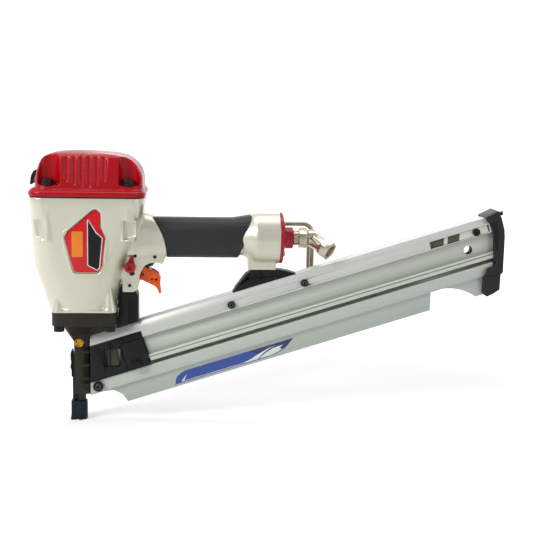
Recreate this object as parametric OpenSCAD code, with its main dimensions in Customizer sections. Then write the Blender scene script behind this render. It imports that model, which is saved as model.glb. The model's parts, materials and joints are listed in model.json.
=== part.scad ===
// Pneumatic framing nailer for collated strip nails.
// X runs rearwards along the handle, Y points away from the side that shows the badge, and Z is up.
// The origin lies on the drive axis, at the mouth of the contact foot's nail bore.

/* [Head housing] */
// Height of the deck that the top cap seats on
deck_z = 265.5; // [262:0.5:270]
// Height of the lower face that the nose flange seats on
base_z = 135; // [133:1:137]
// Front end of the deck
deck_front_x = -51; // [-53:0.5:-50]
// Rear end of the deck
deck_rear_x = 76.5; // [74:0.5:80]
// Half width of the deck
deck_half_w = 47; // [46:1:50]
// Corner radius of the deck
deck_corner_r = 16; // [12:1:20]
// Height where the barrel starts to taper towards the nose
taper_z = 190; // [186:1:194]
// Step from the deck's side in to the barrel's side
barrel_step = 3; // [2:0.5:4]
// Radius of the barrel at its lower face
base_r = 38.5; // [38:0.5:41]
// Distance of the barrel's lower centre behind the drive axis
base_shift = 4.5; // [3:0.5:6]
// Badge thickness
badge_t = 1.2; // [0.8:0.2:2]

/* [Drive] */
// Inner radius of the cylinder sleeve
sleeve_r = 26.5; // [25:0.5:27]
// Wall of the cylinder sleeve
sleeve_wall = 2.5; // [2:0.25:3]
// Height of the piston
piston_h = 14; // [12:1:16]
// Travel of the piston from rest to the bumper
piston_stroke = 96; // [90:1:97]
// Radius of the driver blade
driver_r = 3.5; // [3:0.1:3.8]
// Radius of the nail channel in the nose
channel_r = 4.3; // [4.1:0.1:5]
// Lift of the head valve
valve_lift = 5; // [3:0.5:6]
// Thickness of the gasket under the top cap
gasket_t = 1.2; // [0.8:0.2:2]

/* [Top cap] */
// Height of the cap's flange
cap_flange_h = 8; // [6:0.5:9]
// Overhang of the cap's flange past the deck
cap_lip = 1; // [0.5:0.5:2]
// Height of the cap above the gasket
cap_h = 48.8; // [46:0.2:52]
// Radius of a bolt pocket in the cap's corners
pocket_r = 12.5; // [11:0.5:13]
// Number of ribs on each side of the cap
rib_count = 6; // [4:1:7]
// Distance between two ribs
rib_pitch = 8.1; // [7.8:0.1:8.6]

/* [Handle] */
// Height of the handle's axis
handle_z = 217.7; // [216:0.1:219]
// Height of the grip's section
grip_h = 46.6; // [46:0.2:48]
// Width of the grip's section
grip_w = 41; // [39:0.5:43]
// Thickness of the rubber grip
grip_t = 2.4; // [2:0.2:3]
// Radius of the bell at the handle's rear end
bell_r = 30; // [29:0.5:31]
// Height of the bell's axis
bell_z = 217.7; // [217:0.1:218.4]
// Front end of the bell's round part
bell_front_x = 201; // [199:1:205]
// Rear face of the bell
bell_rear_x = 231; // [229:1:235]
// Thickness of the end cap's rim
end_cap_t = 3.5; // [2.5:0.5:4]
// Length of the end cap's boss
boss_len = 9; // [8:0.5:12]

/* [Trigger] */
// Distance of the trigger shaft behind the drive axis
shaft_x = 59; // [58:0.2:60]
// Height of the trigger shaft
shaft_z = 184.7; // [184:0.1:185.4]
// Radius of the trigger shaft
shaft_r = 3; // [2.5:0.1:3.2]
// Half of the gap between the guard's cheeks
cheek_gap = 10.2; // [10:0.1:11]
// Outer half width of the guard's cheeks
cheek_half_w = 18; // [17:0.5:19]
// Half width of the trigger
trigger_half_w = 9; // [8.5:0.1:9.4]
// Sheet thickness of the trigger
trigger_t = 2.3; // [2:0.1:2.6]

/* [Nose] */
// Thickness of the nose flange
flange_t = 15.5; // [13:0.5:16]
// Half width of the nose block
nose_half_w = 12; // [11:0.5:12.5]
// Front face of the nose block
nose_front_x = -6; // [-7:0.25:-6]
// Lower end of the nose block
nose_low_z = 33; // [32.5:0.5:34]
// Radius of the nose tube inside the contact foot
nose_tube_r = 6; // [5.8:0.1:6.1]
// Radius of the contact foot
foot_r = 7.8; // [7.4:0.1:9.5]
// Radius of the nail bore in the contact foot
foot_bore_r = 5; // [4.6:0.1:5.4]
// Length of that bore
foot_bore_len = 8; // [7:0.5:8]
// Travel of the contact foot
foot_travel = 9; // [7:0.5:9]
// Radius of the depth dial
dial_r = 8; // [7:0.5:8]

/* [Magazine] */
// Angle of the magazine above the horizontal
mag_angle = 17.2; // [16.8:0.1:17.6]
// Height of the magazine's top edge at its front end
mag_top_z = 102.3; // [101:0.1:103.5]
// Front end of the magazine rail
mag_front_x = 12; // [12:0.25:13]
// Rear end of the magazine rail
mag_rear_x = 484.3; // [481:0.3:487.3]
// Half width of the rail's upper block
block_half_w = 13; // [12.5:0.25:13.2]
// Half width of the rail's waist
waist_half_w = 8.5; // [8.2:0.1:9]
// Half width of the rail's ridge and lower flange
ridge_half_w = 11; // [10.6:0.1:11.2]
// Half width of the skirt
skirt_half_w = 7.5; // [7.2:0.1:8]
// Wall thickness of the rail
rail_wall = 2.2; // [1.8:0.1:2.4]
// Half width of the slot that the nails hang in
nail_slot_half_w = 3.2; // [3:0.1:3.5]
// Travel of the pusher
pusher_travel = 300; // [260:5:310]

/* [Air fitting and hook] */
// Bend of the swivel elbow
elbow_angle = 45; // [40:1:50]
// Turn of the swivel from straight down towards the badge's side
swivel_turn = 49.5; // [45:0.5:55]
// Length of the elbow's arm, from the swivel axis to its end face
elbow_len = 29.7; // [28:0.1:31]
// Radius of the tapped inlet
inlet_r = 7.4; // [7:0.1:7.6]
// Depth of the tapped inlet
inlet_depth = 12; // [10:0.5:13]
// Radius of the hook's wire
hook_wire_r = 2.75; // [2.5:0.05:3]
// Distance of the hook's pivot from the tool's middle plane
hook_y = 34; // [33:0.5:35]
// Width of the hook's gap, between wire centres
hook_gap = 32; // [28:1:38]

/* [Hidden] */
$fn = 48;
HULL_FN = 32;
CLEAR = 0.15;   // clearance between seated pieces
RUN = 0.08;     // radial clearance of a shaft that turns or slides
EPS = 0.01;

// ---- derived sizes ----
deck_mid_x = (deck_front_x + deck_rear_x) / 2;
barrel_half_w = deck_half_w - barrel_step;
cap_z = deck_z + gasket_t;
cap_body_z = cap_z + cap_flange_h;
cap_top_z = cap_z + cap_h;
cap_bolt_x = [deck_front_x + 21, deck_rear_x - 18];
cap_bolt_y = deck_half_w - 10;
cap_bolt_r = 3;
bolt_head_r = 6;
bolt_head_h = 7;
pocket_z = cap_body_z + 4;
cap_half_w = deck_half_w - 5;
nose_bolt_x = [base_shift - 25, base_shift + 32];
nose_bolt_y = base_r - 8.5;

barrel_rear_x = 52;
chamber_r = 38;
rear_pocket_x = 30;
rear_pocket_r = 24;
ledge_z = 206;
flange_seat_r = sleeve_r + sleeve_wall + 6.5;
return_r = flange_seat_r - 2;
return_z = base_z + 13;
sleeve_low_z = base_z + 3;
sleeve_top_z = deck_z - 5;
sleeve_out_r = sleeve_r + sleeve_wall;
sleeve_flange_h = 6;
piston_top_z = sleeve_top_z - 5;
piston_low_z = piston_top_z - piston_h;
bumper_top_z = piston_low_z - piston_stroke - 0.5;
bumper_low_z = base_z - 11;
bumper_r = sleeve_r - 2.5;
driver_low_z = mag_top_z - 2.4;
driver_seat = 6;
valve_r = 34.8;
valve_bore_r = valve_r + 0.2;
valve_h = 15;
valve_low_z = sleeve_top_z + 0.3;
valve_room = 8.4;      // room over the lifted valve for its squeezed spring
valve_spring_z = valve_low_z + valve_h + valve_lift + valve_room;
stop_r = 13;
post_r = 12;

guard_low_z = 155.5;
valve_x = 80;
valve_seat_r = 7;
valve_low = shaft_z + 1.8;
stem_r = 2.5;
stem_low_z = 174.2;
lever_pin_x = shaft_x + 29.6;
lever_pin_z = shaft_z - 15.8;
lever_rise = -0.6;
lever_len = 32.5;

grip_out_front = 75;
grip_cut_x = 32.2;
grip_cut_z = 196;
grip_cut_r = 68.7;
core_h = grip_h - 2 * grip_t;
core_w = grip_w - 2 * grip_t;
air_bore_r = 14;
bell_bore_r = bell_r - 4;
bell_foot_z = 181;

cap_dome = 3.5;
boss_x = bell_rear_x + end_cap_t + cap_dome;
boss_r = 12.7;
spigot_r = 6.5;
swivel_x = boss_x + boss_len;
hex_len = 9.5;
collar_len = 1;
neck_len = 6.5;
journal_x = swivel_x + neck_len + hex_len + collar_len;
journal_r = 6;
journal_len = 7;
elbow_x = journal_x + 4.5;
elbow_r = 9.8;
hook_z = bell_z + 12.5;
hook_bend_r = 12;
hook_rear_x = journal_x + 10;
hook_low_z = 172;
hook_tip_z = 200;

// rail section, measured down from the rail's top
v_shoulder = 7.2;   // lower edge of the sloped shoulders
crown_half_w = 9.5;   // half width of the flat top between them
v_head = 9;       // floor of the channel for the nail heads
head_half_w = 6.5;
v_block = 18.9;   // lower edge of the upper block
v_ridge = 41.5;     // upper edge of the ridge
v_slot = 49;    // upper edge of the pusher's slot
v_slot_end = 53.6;
v_flange = 67.5;  // lower edge of the lower flange
v_skirt = 89;   // lower edge of the skirt
rail_len = (mag_rear_x - mag_front_x) / cos(mag_angle) + 40;
past = 30;            // how far a cutting box reaches past the magazine's sides
above = 400;          // height that lies above everything
window_rear_x = 76.5;   // rear end of the opening beside the front guide
push_x = 50;          // front edge of the pusher at rest
push_len = 26;
slot_end_wall = 14;    // wall left behind the slot at the rear end
slot_rear_x = mag_rear_x - slot_end_wall;
function mag_top(x) = mag_top_z + (x - mag_front_x) * tan(mag_angle);
// height of a point that lies v below the rail's top, straight under x
function mag_at(x, v) = mag_top(x) - v / cos(mag_angle);
// distance along the rail of a point at x that lies v below its top
function mag_s(x, v) = (x - mag_front_x - v * sin(mag_angle)) / cos(mag_angle);

// ---- helpers ----
module zcyl(x, y, r, z0, z1, r2 = -1) {
    translate([x, y, z0]) cylinder(r1 = r, r2 = r2 < 0 ? r : r2, h = z1 - z0);
}
module ycyl(x, z, r, y0, y1) {
    translate([x, y0, z]) rotate([-90, 0, 0]) cylinder(r = r, h = y1 - y0);
}
module xcyl(x0, x1, r, z, y = 0, r2 = -1) {
    translate([x0, y, z]) rotate([0, 90, 0]) cylinder(r1 = r, r2 = r2 < 0 ? r : r2, h = x1 - x0);
}
module block(x0, x1, y0, y1, z0, z1) {
    translate([x0, y0, z0]) cube([x1 - x0, y1 - y0, z1 - z0]);
}
// rounded rectangle in plan, with true arcs
module rounded(x0, x1, hw, r) {
    translate([x0 + r, -hw]) square([x1 - x0 - 2 * r, 2 * hw]);
    translate([x0, -hw + r]) square([x1 - x0, 2 * hw - 2 * r]);
    for (x = [x0 + r, x1 - r], y = [-hw + r, hw - r]) translate([x, y]) circle(r = r);
}
module slab(z0, z1, x0, x1, hw, r) {
    translate([0, 0, z0]) linear_extrude(z1 - z0) rounded(x0, x1, hw, r);
}
// rounded slice used inside a hull
module slice(z, x0, x1, hw, r, t = 0.5) {
    for (x = [x0 + r, x1 - r], y = [-hw + r, hw - r])
        translate([x, y, z]) cylinder(r = r, h = t, $fn = HULL_FN);
}
// rounded section across X, used inside a hull
module section(x, z, h, w, r, t = 0.5) {
    for (dy = [-w / 2 + r, w / 2 - r], dz = [-h / 2 + r, h / 2 - r])
        translate([x, dy, z + dz]) rotate([0, 90, 0]) cylinder(r = r, h = t, $fn = HULL_FN);
}
// bar with a rounded section along X, with true arcs
module bar(x0, x1, z, h, w, r) {
    translate([x0, 0, z]) rotate([0, 90, 0]) linear_extrude(x1 - x0) rounded(-h / 2, h / 2, w / 2, r);
}
// outline in the XZ plane, extruded from y0 to y1
module side_plate(points, y0, y1) {
    translate([0, y1, 0]) rotate([90, 0, 0]) linear_extrude(y1 - y0) polygon(points);
}
module on_rail() {
    translate([mag_front_x, 0, mag_top_z]) rotate([0, -mag_angle, 0]) children();
}
// box in the rail's frame: s along it, y across it, v down from its top
module rail_box(s0, s1, y0, y1, v0, v1) {
    on_rail() translate([s0, y0, -v1]) cube([s1 - s0, y1 - y0, v1 - v0]);
}
module ring(x, y, r_out, r_in, z0, z1) {
    difference() {
        zcyl(x, y, r_out, z0, z1);
        zcyl(x, y, r_in, z0 - 1, z1 + 1);
    }
}
// helical coil of round wire along Z, with its ends at z = 0 and z = h
module coil(r, wire, h, turns) {
    steps = 10 * turns;
    sides = 6;
    points = [for (i = [0:steps], k = [0:sides - 1])
        let (a = 360 * turns * i / steps, b = 360 * k / sides,
            q = r + wire * cos(b))
        [q * cos(a), q * sin(a), wire + (h - 2 * wire) * i / steps + wire * sin(b)]];
    walls = [for (i = [0:steps - 1], k = [0:sides - 1])
        let (a = i * sides + k, b = i * sides + (k + 1) % sides)
        each [[a, a + sides, b], [b, a + sides, b + sides]]];
    first = [for (k = [1:sides - 2]) [0, k, k + 1]];
    n = steps * sides;
    end = [for (k = [1:sides - 2]) [n, n + k + 1, n + k]];
    polyhedron(points, concat(walls, first, end));
}

// ---- head ----
module barrel_upper() {
    hull() {
        slice(deck_z - 0.5, deck_front_x, deck_rear_x, deck_half_w, deck_corner_r);
        slice(deck_z - 7, deck_front_x, deck_rear_x, deck_half_w, deck_corner_r);
        slice(deck_z - 22, deck_front_x + 1, deck_rear_x - 3, barrel_half_w, deck_corner_r);
        slice(taper_z, deck_front_x + 2, barrel_rear_x, barrel_half_w - 1, 28);
    }
}
module barrel_lower() {
    hull() {
        slice(taper_z, deck_front_x + 2, barrel_rear_x, barrel_half_w - 1, 28);
        translate([base_shift, 0, base_z]) cylinder(r = base_r, h = 0.5, $fn = 2 * HULL_FN);
    }
}
module neck() {
    intersection() {
        hull() {
            section(50, handle_z + 5, 74, 48, 20);
            section(grip_cut_x + grip_cut_r - 8, handle_z, core_h, core_w, 15);
        }
        ycyl(grip_cut_x, grip_cut_z, grip_cut_r, -60, 60);
    }
}
module handle_core() {
    bar(80, bell_front_x - 6, handle_z, core_h, core_w, 15);
}
module neck_skin() {
    // full-size casting in front of the grip, cut by the same arc as the grip
    intersection() {
        hull() {
            section(60, handle_z + 2, grip_h + 12, grip_w + 3, 18);
            section(grip_cut_x + grip_cut_r, handle_z, grip_h, grip_w, 17);
        }
        ycyl(grip_cut_x, grip_cut_z, grip_cut_r, -60, 60);
    }
}
module bell_shape() {
    translate([0, 0, bell_z]) rotate([0, 90, 0]) rotate_extrude()
        polygon([[0, bell_front_x - 18], [18, bell_front_x - 18], [bell_r - 1.5, bell_front_x - 1],
            [bell_r, bell_front_x + 3], [bell_r, bell_rear_x], [0, bell_rear_x]]);
}
guard_points = [[shaft_x - 9, shaft_z + 30], [shaft_x - 9, guard_low_z], [shaft_x + 4, guard_low_z],
    [shaft_x + 8.5, guard_low_z + 3], [shaft_x + 10, guard_low_z + 8], [shaft_x + 11.3, shaft_z - 8],
    [shaft_x + 15.9, shaft_z + 1], [shaft_x + 22, shaft_z + 4.4], [shaft_x + 29.7, shaft_z + 5],
    [shaft_x + 37.3, shaft_z + 3.5], [shaft_x + 40.7, shaft_z + 11.5], [shaft_x + 40.7, shaft_z + 26]];
module guard_cheeks() {
    for (side = [-1, 1])
        side_plate(guard_points, side < 0 ? -cheek_half_w : cheek_gap, side < 0 ? -cheek_gap : cheek_half_w);
}
// roll pins that cross the guard: x and z of each
pin_spots = [[shaft_x + 5.6, shaft_z + 13], [shaft_x + 28.2, shaft_z + 12], [shaft_x - 0.5, shaft_z - 21.5]];
pin_r = 1.75;
// ends of the room between the two cheeks
room_front_x = shaft_x - 7;
room_rear_x = shaft_x + 46;
module main_housing() {
    color("#c9c8bd") difference() {
        union() {
            barrel_upper();
            barrel_lower();
            for (x = cap_bolt_x, y = [-cap_bolt_y, cap_bolt_y])
                zcyl(x, y, 9.6, deck_z - 48, deck_z - 2);
            for (x = nose_bolt_x, y = [-nose_bolt_y, nose_bolt_y])
                zcyl(x, y, 8.4, base_z, base_z + 27, 2.5);
            slab(base_z, base_z + 3, base_shift - flange_front, base_shift + flange_rear, base_r - 0.5,
                flange_corner_r);
            neck();
            neck_skin();
            handle_core();
            bell_shape();
            block(bell_front_x - 7, bell_rear_x - 4, -11, 11, bell_foot_z, bell_z - 10);
            guard_cheeks();
        }
        // chambers around the cylinder sleeve
        zcyl(0, 0, chamber_r, ledge_z + 8, deck_z + 1);
        zcyl(rear_pocket_x, 0, rear_pocket_r, ledge_z + 8, deck_z + 1);
        zcyl(0, 0, flange_seat_r + CLEAR, ledge_z, ledge_z + 9);
        zcyl(0, 0, return_r, return_z, ledge_z + 1);
        zcyl(0, 0, sleeve_out_r + CLEAR, sleeve_low_z, return_z + 1);
        zcyl(0, 0, bumper_r + 2 * CLEAR, base_z - 1, sleeve_low_z + 1);
        // air passage through the handle, and the bell's bore
        xcyl(30, bell_front_x + 1, air_bore_r, handle_z);
        xcyl(bell_front_x, bell_rear_x + 1, bell_bore_r, bell_z);
        // threads for the cap's and the nose's bolts
        for (x = cap_bolt_x, y = [-cap_bolt_y, cap_bolt_y])
            zcyl(x, y, cap_bolt_r + CLEAR, deck_z - 21, deck_z + 1);
        for (x = nose_bolt_x, y = [-nose_bolt_y, nose_bolt_y])
            zcyl(x, y, cap_bolt_r + CLEAR, base_z - 1, base_z + 13);
        // pocket of the trigger valve and the room between the cheeks
        zcyl(valve_x, 0, valve_seat_r + CLEAR, shaft_z - 6, handle_z);
        side_plate([[room_front_x, shaft_z + 6], [room_front_x, guard_low_z - 5],
            [room_rear_x, guard_low_z - 5], [room_rear_x, shaft_z + 6], [lever_pin_x, shaft_z + 8]],
            -cheek_gap, cheek_gap);
        // shaft bore, roll-pin holes and the selector's detent
        ycyl(shaft_x, shaft_z, shaft_r + RUN, -cheek_half_w - 1, cheek_half_w + 1);
        for (p = pin_spots) ycyl(p[0], p[1], pin_r + CLEAR, -cheek_half_w - 9, cheek_half_w + 9);
        ycyl(shaft_x + 3, shaft_z - 7, 1.8, -cheek_half_w - 1, -cheek_half_w + 3);
        // milled face that the selector's pointer turns over
        intersection() {
            ycyl(shaft_x, shaft_z, selector_sweep_r, -60, -cheek_half_w);
            block(shaft_x - 4.6, shaft_x + selector_sweep_r, -61, 0, shaft_z - 6.6, shaft_z + selector_sweep_r);
        }
        // hole for the bracket's bolt under the bell
        zcyl(bell_front_x + bell_bolt, 0, 3 + CLEAR, bell_foot_z - 1, bell_foot_z + 12);
        // seat of the badge
        translate([0, -barrel_half_w - 5, 0]) badge_shape(1.2, 5 + badge_recess);
    }
}
selector_sweep_r = 13.6;
// outline of the badge: x and z from its lowest middle point
badge_x = 10.8;
badge_z = 182.6;
badge_recess = 1.6;
badge_points = [[-7, 0], [11, 0], [17, 4.5], [22, 39], [17.5, 51], [17, 65], [12.5, 69.5], [8, 68.5],
    [-18, 46], [-21.5, 39.5], [-13.5, 6]];
module badge_shape(grow, depth) {
    s = 1 + grow / 30;
    translate([badge_x, depth, badge_z + 35]) rotate([90, 0, 0]) linear_extrude(depth)
        scale([s, s]) translate([0, -35]) polygon(badge_points);
}
module badge() {
    color("crimson") difference() {
        translate([0, -barrel_half_w + badge_recess - CLEAR - badge_t, 0]) badge_shape(0, badge_t);
        translate([0, -barrel_half_w + badge_recess - CLEAR - badge_t - 1, 0]) badge_shape(-40, 1.3);
    }
}
module cap_gasket() {
    color("#1c1c1c") difference() {
        slab(deck_z, cap_z, deck_front_x + 0.5, deck_rear_x - 0.5, deck_half_w - 0.5, deck_corner_r);
        zcyl(0, 0, chamber_r, deck_z - 1, cap_z + 1);
        zcyl(rear_pocket_x, 0, rear_pocket_r, deck_z - 1, cap_z + 1);
        for (x = cap_bolt_x, y = [-cap_bolt_y, cap_bolt_y])
            zcyl(x, y, cap_bolt_r + CLEAR, deck_z - 1, cap_z + 1);
    }
}
// levels of the crown: share of its height, then how far its front, rear and sides stand in
crown = [[0.25, 6.5, 2.2, 0.5], [0.5, 8.6, 4.6, 1.4], [0.8, 13.6, 15, 4], [0.93, 22, 30, 8.5]];
crown_corner_r = 14;
// the crown, drawn gap further to the front for the piece that lies on it
module cap_dome_shape(gap = 0) {
    height = cap_top_z - cap_body_z;
    hull() {
        slice(cap_body_z - 1, deck_front_x + 6 - gap, deck_rear_x - 2, cap_half_w, crown_corner_r);
        for (level = crown)
            slice(cap_body_z + level[0] * height, deck_front_x + level[1] - gap, deck_rear_x - level[2],
                cap_half_w - level[3], crown_corner_r);
        slice(cap_top_z - 0.5, deck_front_x + 38 - gap, deck_rear_x - 60, cap_half_w - 20, crown_corner_r - 2);
    }
}
module top_cap() {
    color("#b3121f") difference() {
        union() {
            slab(cap_z, cap_z + cap_flange_h - 2, deck_front_x - cap_lip, deck_rear_x + cap_lip,
                deck_half_w + cap_lip, deck_corner_r + cap_lip);
            slab(cap_z + cap_flange_h - 2 - EPS, cap_z + cap_flange_h, deck_front_x + 1, deck_rear_x - 1,
                deck_half_w - 1, deck_corner_r - 1);
            cap_dome_shape();
            for (i = [0:rib_count - 1], side = [-1, 1])
                zcyl(deck_mid_x - 1.2 + (i - (rib_count - 1) / 2) * rib_pitch, side * (cap_half_w - 1.3), 2,
                    cap_body_z + 2, cap_body_z + 0.5 * (cap_top_z - cap_body_z));
        }
        for (x = cap_bolt_x, side = [-1, 1]) {
            zcyl(x + (x < 0 ? 1.5 : 2), side * (cap_bolt_y + 4), pocket_r, pocket_z, cap_top_z + 1);
            zcyl(x, side * cap_bolt_y, cap_bolt_r + CLEAR, cap_z - 1, pocket_z + 1);
        }
        difference() {
            zcyl(0, 0, valve_bore_r, cap_z - 1, valve_spring_z);
            zcyl(0, 0, post_r, deck_z - 2, valve_spring_z + 1);
        }
        ring(0, 0, valve_bore_r - 9, post_r, valve_spring_z - 1, cap_top_z - 9);
        zcyl(rear_pocket_x, 0, rear_pocket_r - 6, cap_z - 1, cap_body_z + 12);
        // exhaust passage to the front of the cap
        block(deck_front_x - 2, -20, -13, 13, cap_body_z + 7, cap_body_z + 13);
    }
}
module cap_bolts() {
    color("#2a2c2b") for (x = cap_bolt_x, y = [-cap_bolt_y, cap_bolt_y])
        socket_bolt(x, y, pocket_z, 26);
}
// socket-head bolt whose head stands on z, with its shank below
module socket_bolt(x, y, z, length) {
    difference() {
        union() {
            zcyl(x, y, bolt_head_r, z + 0.02, z + bolt_head_h);
            zcyl(x, y, cap_bolt_r, z - length, z + 1);
        }
        translate([x, y, z + 3]) cylinder(r = 3, h = bolt_head_h, $fn = 6);
    }
}
module exhaust_deflector() {
    x = deck_front_x + 4.5;
    z = cap_body_z + 3;
    color("#1a1a1a") difference() {
        side_plate([[x, z + 16], [x - 1.6, z + 15.5], [x - 4.5, z + 10], [x - 6, z], [x - 4, z], [x - 2.2, z + 9],
            [x + 3, z + 11], [x + 8, z + 12], [x + 8, z + 16]], -16, 16);
        cap_dome_shape(CLEAR);
    }
}

// ---- drive train ----
module cylinder_sleeve() {
    color("#a9adb0") difference() {
        union() {
            zcyl(0, 0, sleeve_out_r, sleeve_low_z + CLEAR, sleeve_top_z);
            zcyl(0, 0, flange_seat_r, ledge_z + EPS, ledge_z + sleeve_flange_h);
        }
        zcyl(0, 0, sleeve_r, sleeve_low_z - 1, sleeve_top_z + 1);
        for (a = [0:45:315]) rotate([0, 0, a]) xcyl(sleeve_r - 2, sleeve_out_r + 1, 1.6, return_z + 20);
    }
}
module sleeve_seal() {
    color("#151515") ring(0, 0, chamber_r - 0.6, sleeve_out_r + CLEAR, ledge_z + sleeve_flange_h + 2.2,
        ledge_z + sleeve_flange_h + 5.2);
}
module head_valve() {
    color("#d8d4c6") difference() {
        zcyl(0, 0, valve_r, valve_low_z, valve_low_z + valve_h);
        zcyl(0, 0, stop_r + 0.6, valve_low_z - 1, valve_low_z + valve_h + 1);
        zcyl(0, 0, sleeve_r - 2, valve_low_z - 1, valve_low_z + 2);
    }
}
module valve_return_spring() {
    z = valve_low_z + valve_h + CLEAR;
    color("#8b8f92") translate([0, 0, z]) coil(20, 1.1, cap_top_z - 9.2 - z, 4);
}
module piston_stop() {
    color("#2b2b2b") difference() {
        zcyl(0, 0, stop_r, piston_top_z + 0.6, cap_z - 0.02);
        zcyl(0, 0, 4, piston_top_z - 1, piston_top_z + 4);
    }
}
module piston() {
    color("#b9bcc0") difference() {
        zcyl(0, 0, sleeve_r - 0.25, piston_low_z, piston_top_z);
        ring(0, 0, sleeve_r + 1, sleeve_r - 2.6, piston_low_z + 8, piston_low_z + 11);
        zcyl(0, 0, driver_r + 0.05, piston_low_z - 1, piston_low_z + driver_seat);
        ring(0, 0, 20, 9, piston_low_z - 1, piston_low_z + 4);
    }
}
module piston_ring() {
    color("#141414") ring(0, 0, sleeve_r - RUN, sleeve_r - 2.5, piston_low_z + 8.1, piston_low_z + 10.9);
}
module driver_blade() {
    color("#7e8284") zcyl(0, 0, driver_r, driver_low_z, piston_low_z + driver_seat - CLEAR);
}
module bumper() {
    color("#3a3a38") ring(0, 0, bumper_r, driver_r + 1.6, bumper_low_z + CLEAR, bumper_top_z);
}

// ---- nose ----
flange_low_z = base_z - flange_t;
web_rear_x = 40;
web_half_w = 11;
flange_front = 33;
flange_rear = 39.5;
flange_corner_r = 9;
funnel_low_z = mag_top_z - 7;
tube_low_z = foot_bore_len + foot_travel + 0.6;
module nose_body() {
    color("#34332b") difference() {
        union() {
            slab(flange_low_z, base_z - EPS, base_shift - flange_front, base_shift + flange_rear, base_r - 0.5,
                flange_corner_r);
            hull() {
                slice(flange_low_z - 0.5, base_shift - 25, base_shift + 21, 23, 8);
                slice(funnel_low_z, nose_front_x, mag_front_x - 6.5, nose_half_w, 2);
            }
            block(nose_front_x, mag_front_x - CLEAR, -nose_half_w, nose_half_w, nose_low_z, mag_top_z);
            hull() {
                block(nose_front_x, mag_front_x - 2, -nose_half_w, nose_half_w, nose_low_z, nose_low_z + 8);
                zcyl(0, 0, nose_tube_r, nose_low_z - 1, nose_low_z);
            }
            zcyl(0, 0, nose_tube_r, tube_low_z, nose_low_z + 1);
            // web between the flange and the magazine's front
            side_plate([[0, mag_top_z - 1], [mag_front_x - CLEAR, mag_top_z - 1],
                [mag_front_x, mag_top(mag_front_x) + 0.6], [web_rear_x, mag_top(web_rear_x) + 0.6],
                [web_rear_x, flange_low_z + 1], [0, flange_low_z + 1]], -web_half_w, web_half_w);
            // ribs on both sides, and the ears that the magazine's bolt clamps
            for (side = [-1, 1]) {
                for (z = [mag_top_z - 20, mag_top_z - 36, mag_top_z - 52, mag_top_z - 60])
                    block(-1, mag_front_x - 1, side < 0 ? -nose_half_w - 0.8 : nose_half_w - 1,
                        side < 0 ? -nose_half_w + 1 : nose_half_w + 0.8, z, z + 3);
                rail_box(mag_s(mag_front_x - 2, 60), mag_s(mag_front_x + 18, 60), side < 0 ? -8.4 : 4.4,
                    side < 0 ? -4.4 : 8.4, v_slot_end + rail_wall + 0.4, v_flange - rail_wall - 0.4);
            }
        }
        zcyl(0, 0, channel_r, tube_low_z - 1, base_z + 1);
        zcyl(0, 0, bumper_r + 2 * CLEAR, bumper_low_z, base_z + 1);
        // slot through which nails enter the channel from the magazine
        block(0, mag_front_x + 1, -nail_slot_half_w, nail_slot_half_w, nose_low_z + 1, mag_top_z - 2.4);
        block(0, mag_front_x + 1, -5, 5, mag_top_z - 9, mag_top_z - 2.4);
        for (x = nose_bolt_x, y = [-nose_bolt_y, nose_bolt_y])
            zcyl(x, y, cap_bolt_r + CLEAR, flange_low_z - 1, base_z + 1);
        ycyl(magazine_bolt_x, magazine_bolt_z, 3 + CLEAR, -10, -4);
        ycyl(0, nose_pin_z, 2.5 + CLEAR, -nose_half_w - 1, -nose_half_w + 5);
        ycyl(0, nose_pin_z, 5.3 + CLEAR, -nose_half_w - 9, -nose_half_w);
    }
}
nose_pin_z = mag_top_z - 7.2;
magazine_bolt_x = mag_front_x + 9.4;
magazine_bolt_z = mag_at(magazine_bolt_x, 60);
module nose_bolts() {
    color("#262624") for (x = nose_bolt_x, y = [-nose_bolt_y, nose_bolt_y])
        translate([0, 0, 2 * flange_low_z]) mirror([0, 0, 1]) socket_bolt(x, y, flange_low_z, 26);
}
module nose_pin() {
    color("#c8923a") {
        difference() {
            union() {
                ycyl(0, nose_pin_z, 5.3, -nose_half_w - 2.8, -nose_half_w - 0.02);
                ycyl(0, nose_pin_z, 2.5, -nose_half_w - 1, -nose_half_w + 4.8);
            }
            ycyl(0, nose_pin_z, 4.2, -nose_half_w - 4, -nose_half_w - 2.4);
        }
    }
}
foot_top_z = nose_low_z - 1.2;
module contact_foot() {
    front = nose_front_x - 0.3;
    color("#23323a") difference() {
        union() {
            zcyl(0, 0, foot_r, 0, foot_top_z - foot_travel);
            block(front - 4.4, 0, -6.5, 6.5, 0, foot_top_z - foot_travel);
            block(front - 2.4, front, -6.5, 6.5, 0, mag_top_z - 22);
            side_plate([[front - 2, 0], [front - 5.4, 0], [front - 4.6, 7], [front - 2, 13]], -6, 6);
        }
        // notches that leave claws to grip the work
        for (a = [0:60:300]) rotate([0, 0, a]) block(6, foot_r + 9, -1.5, 1.5, -1, 2.4);
        zcyl(0, 0, foot_bore_r, -5, foot_bore_len + 1);
        zcyl(0, 0, nose_tube_r + RUN, foot_bore_len, foot_top_z + 1);
    }
}
module contact_pad() {
    x = nose_front_x - 2.7 - EPS;
    top = mag_top_z - 19;
    color("#1d1d1b") side_plate([[x, top - 31], [x, top], [x - 1.6, top], [x - 2.4, top - 5], [x - 2.2, top - 10],
        [x - 1.5, top - 13], [x - 2.4, top - 17], [x - 2.4, top - 20], [x - 1.4, top - 23], [x - 1.4, top - 31]], -7, 7);
}
arm_y = block_half_w + 0.5;
arm_t = 2;
arm_x = shaft_x - 1.5;
arm_bar_z = mag_top(arm_x) + 8.5;   // top of the arm's crossbar
post_half_x = 2;
post_half_y = 3;
dial_h = 5.6;
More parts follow.
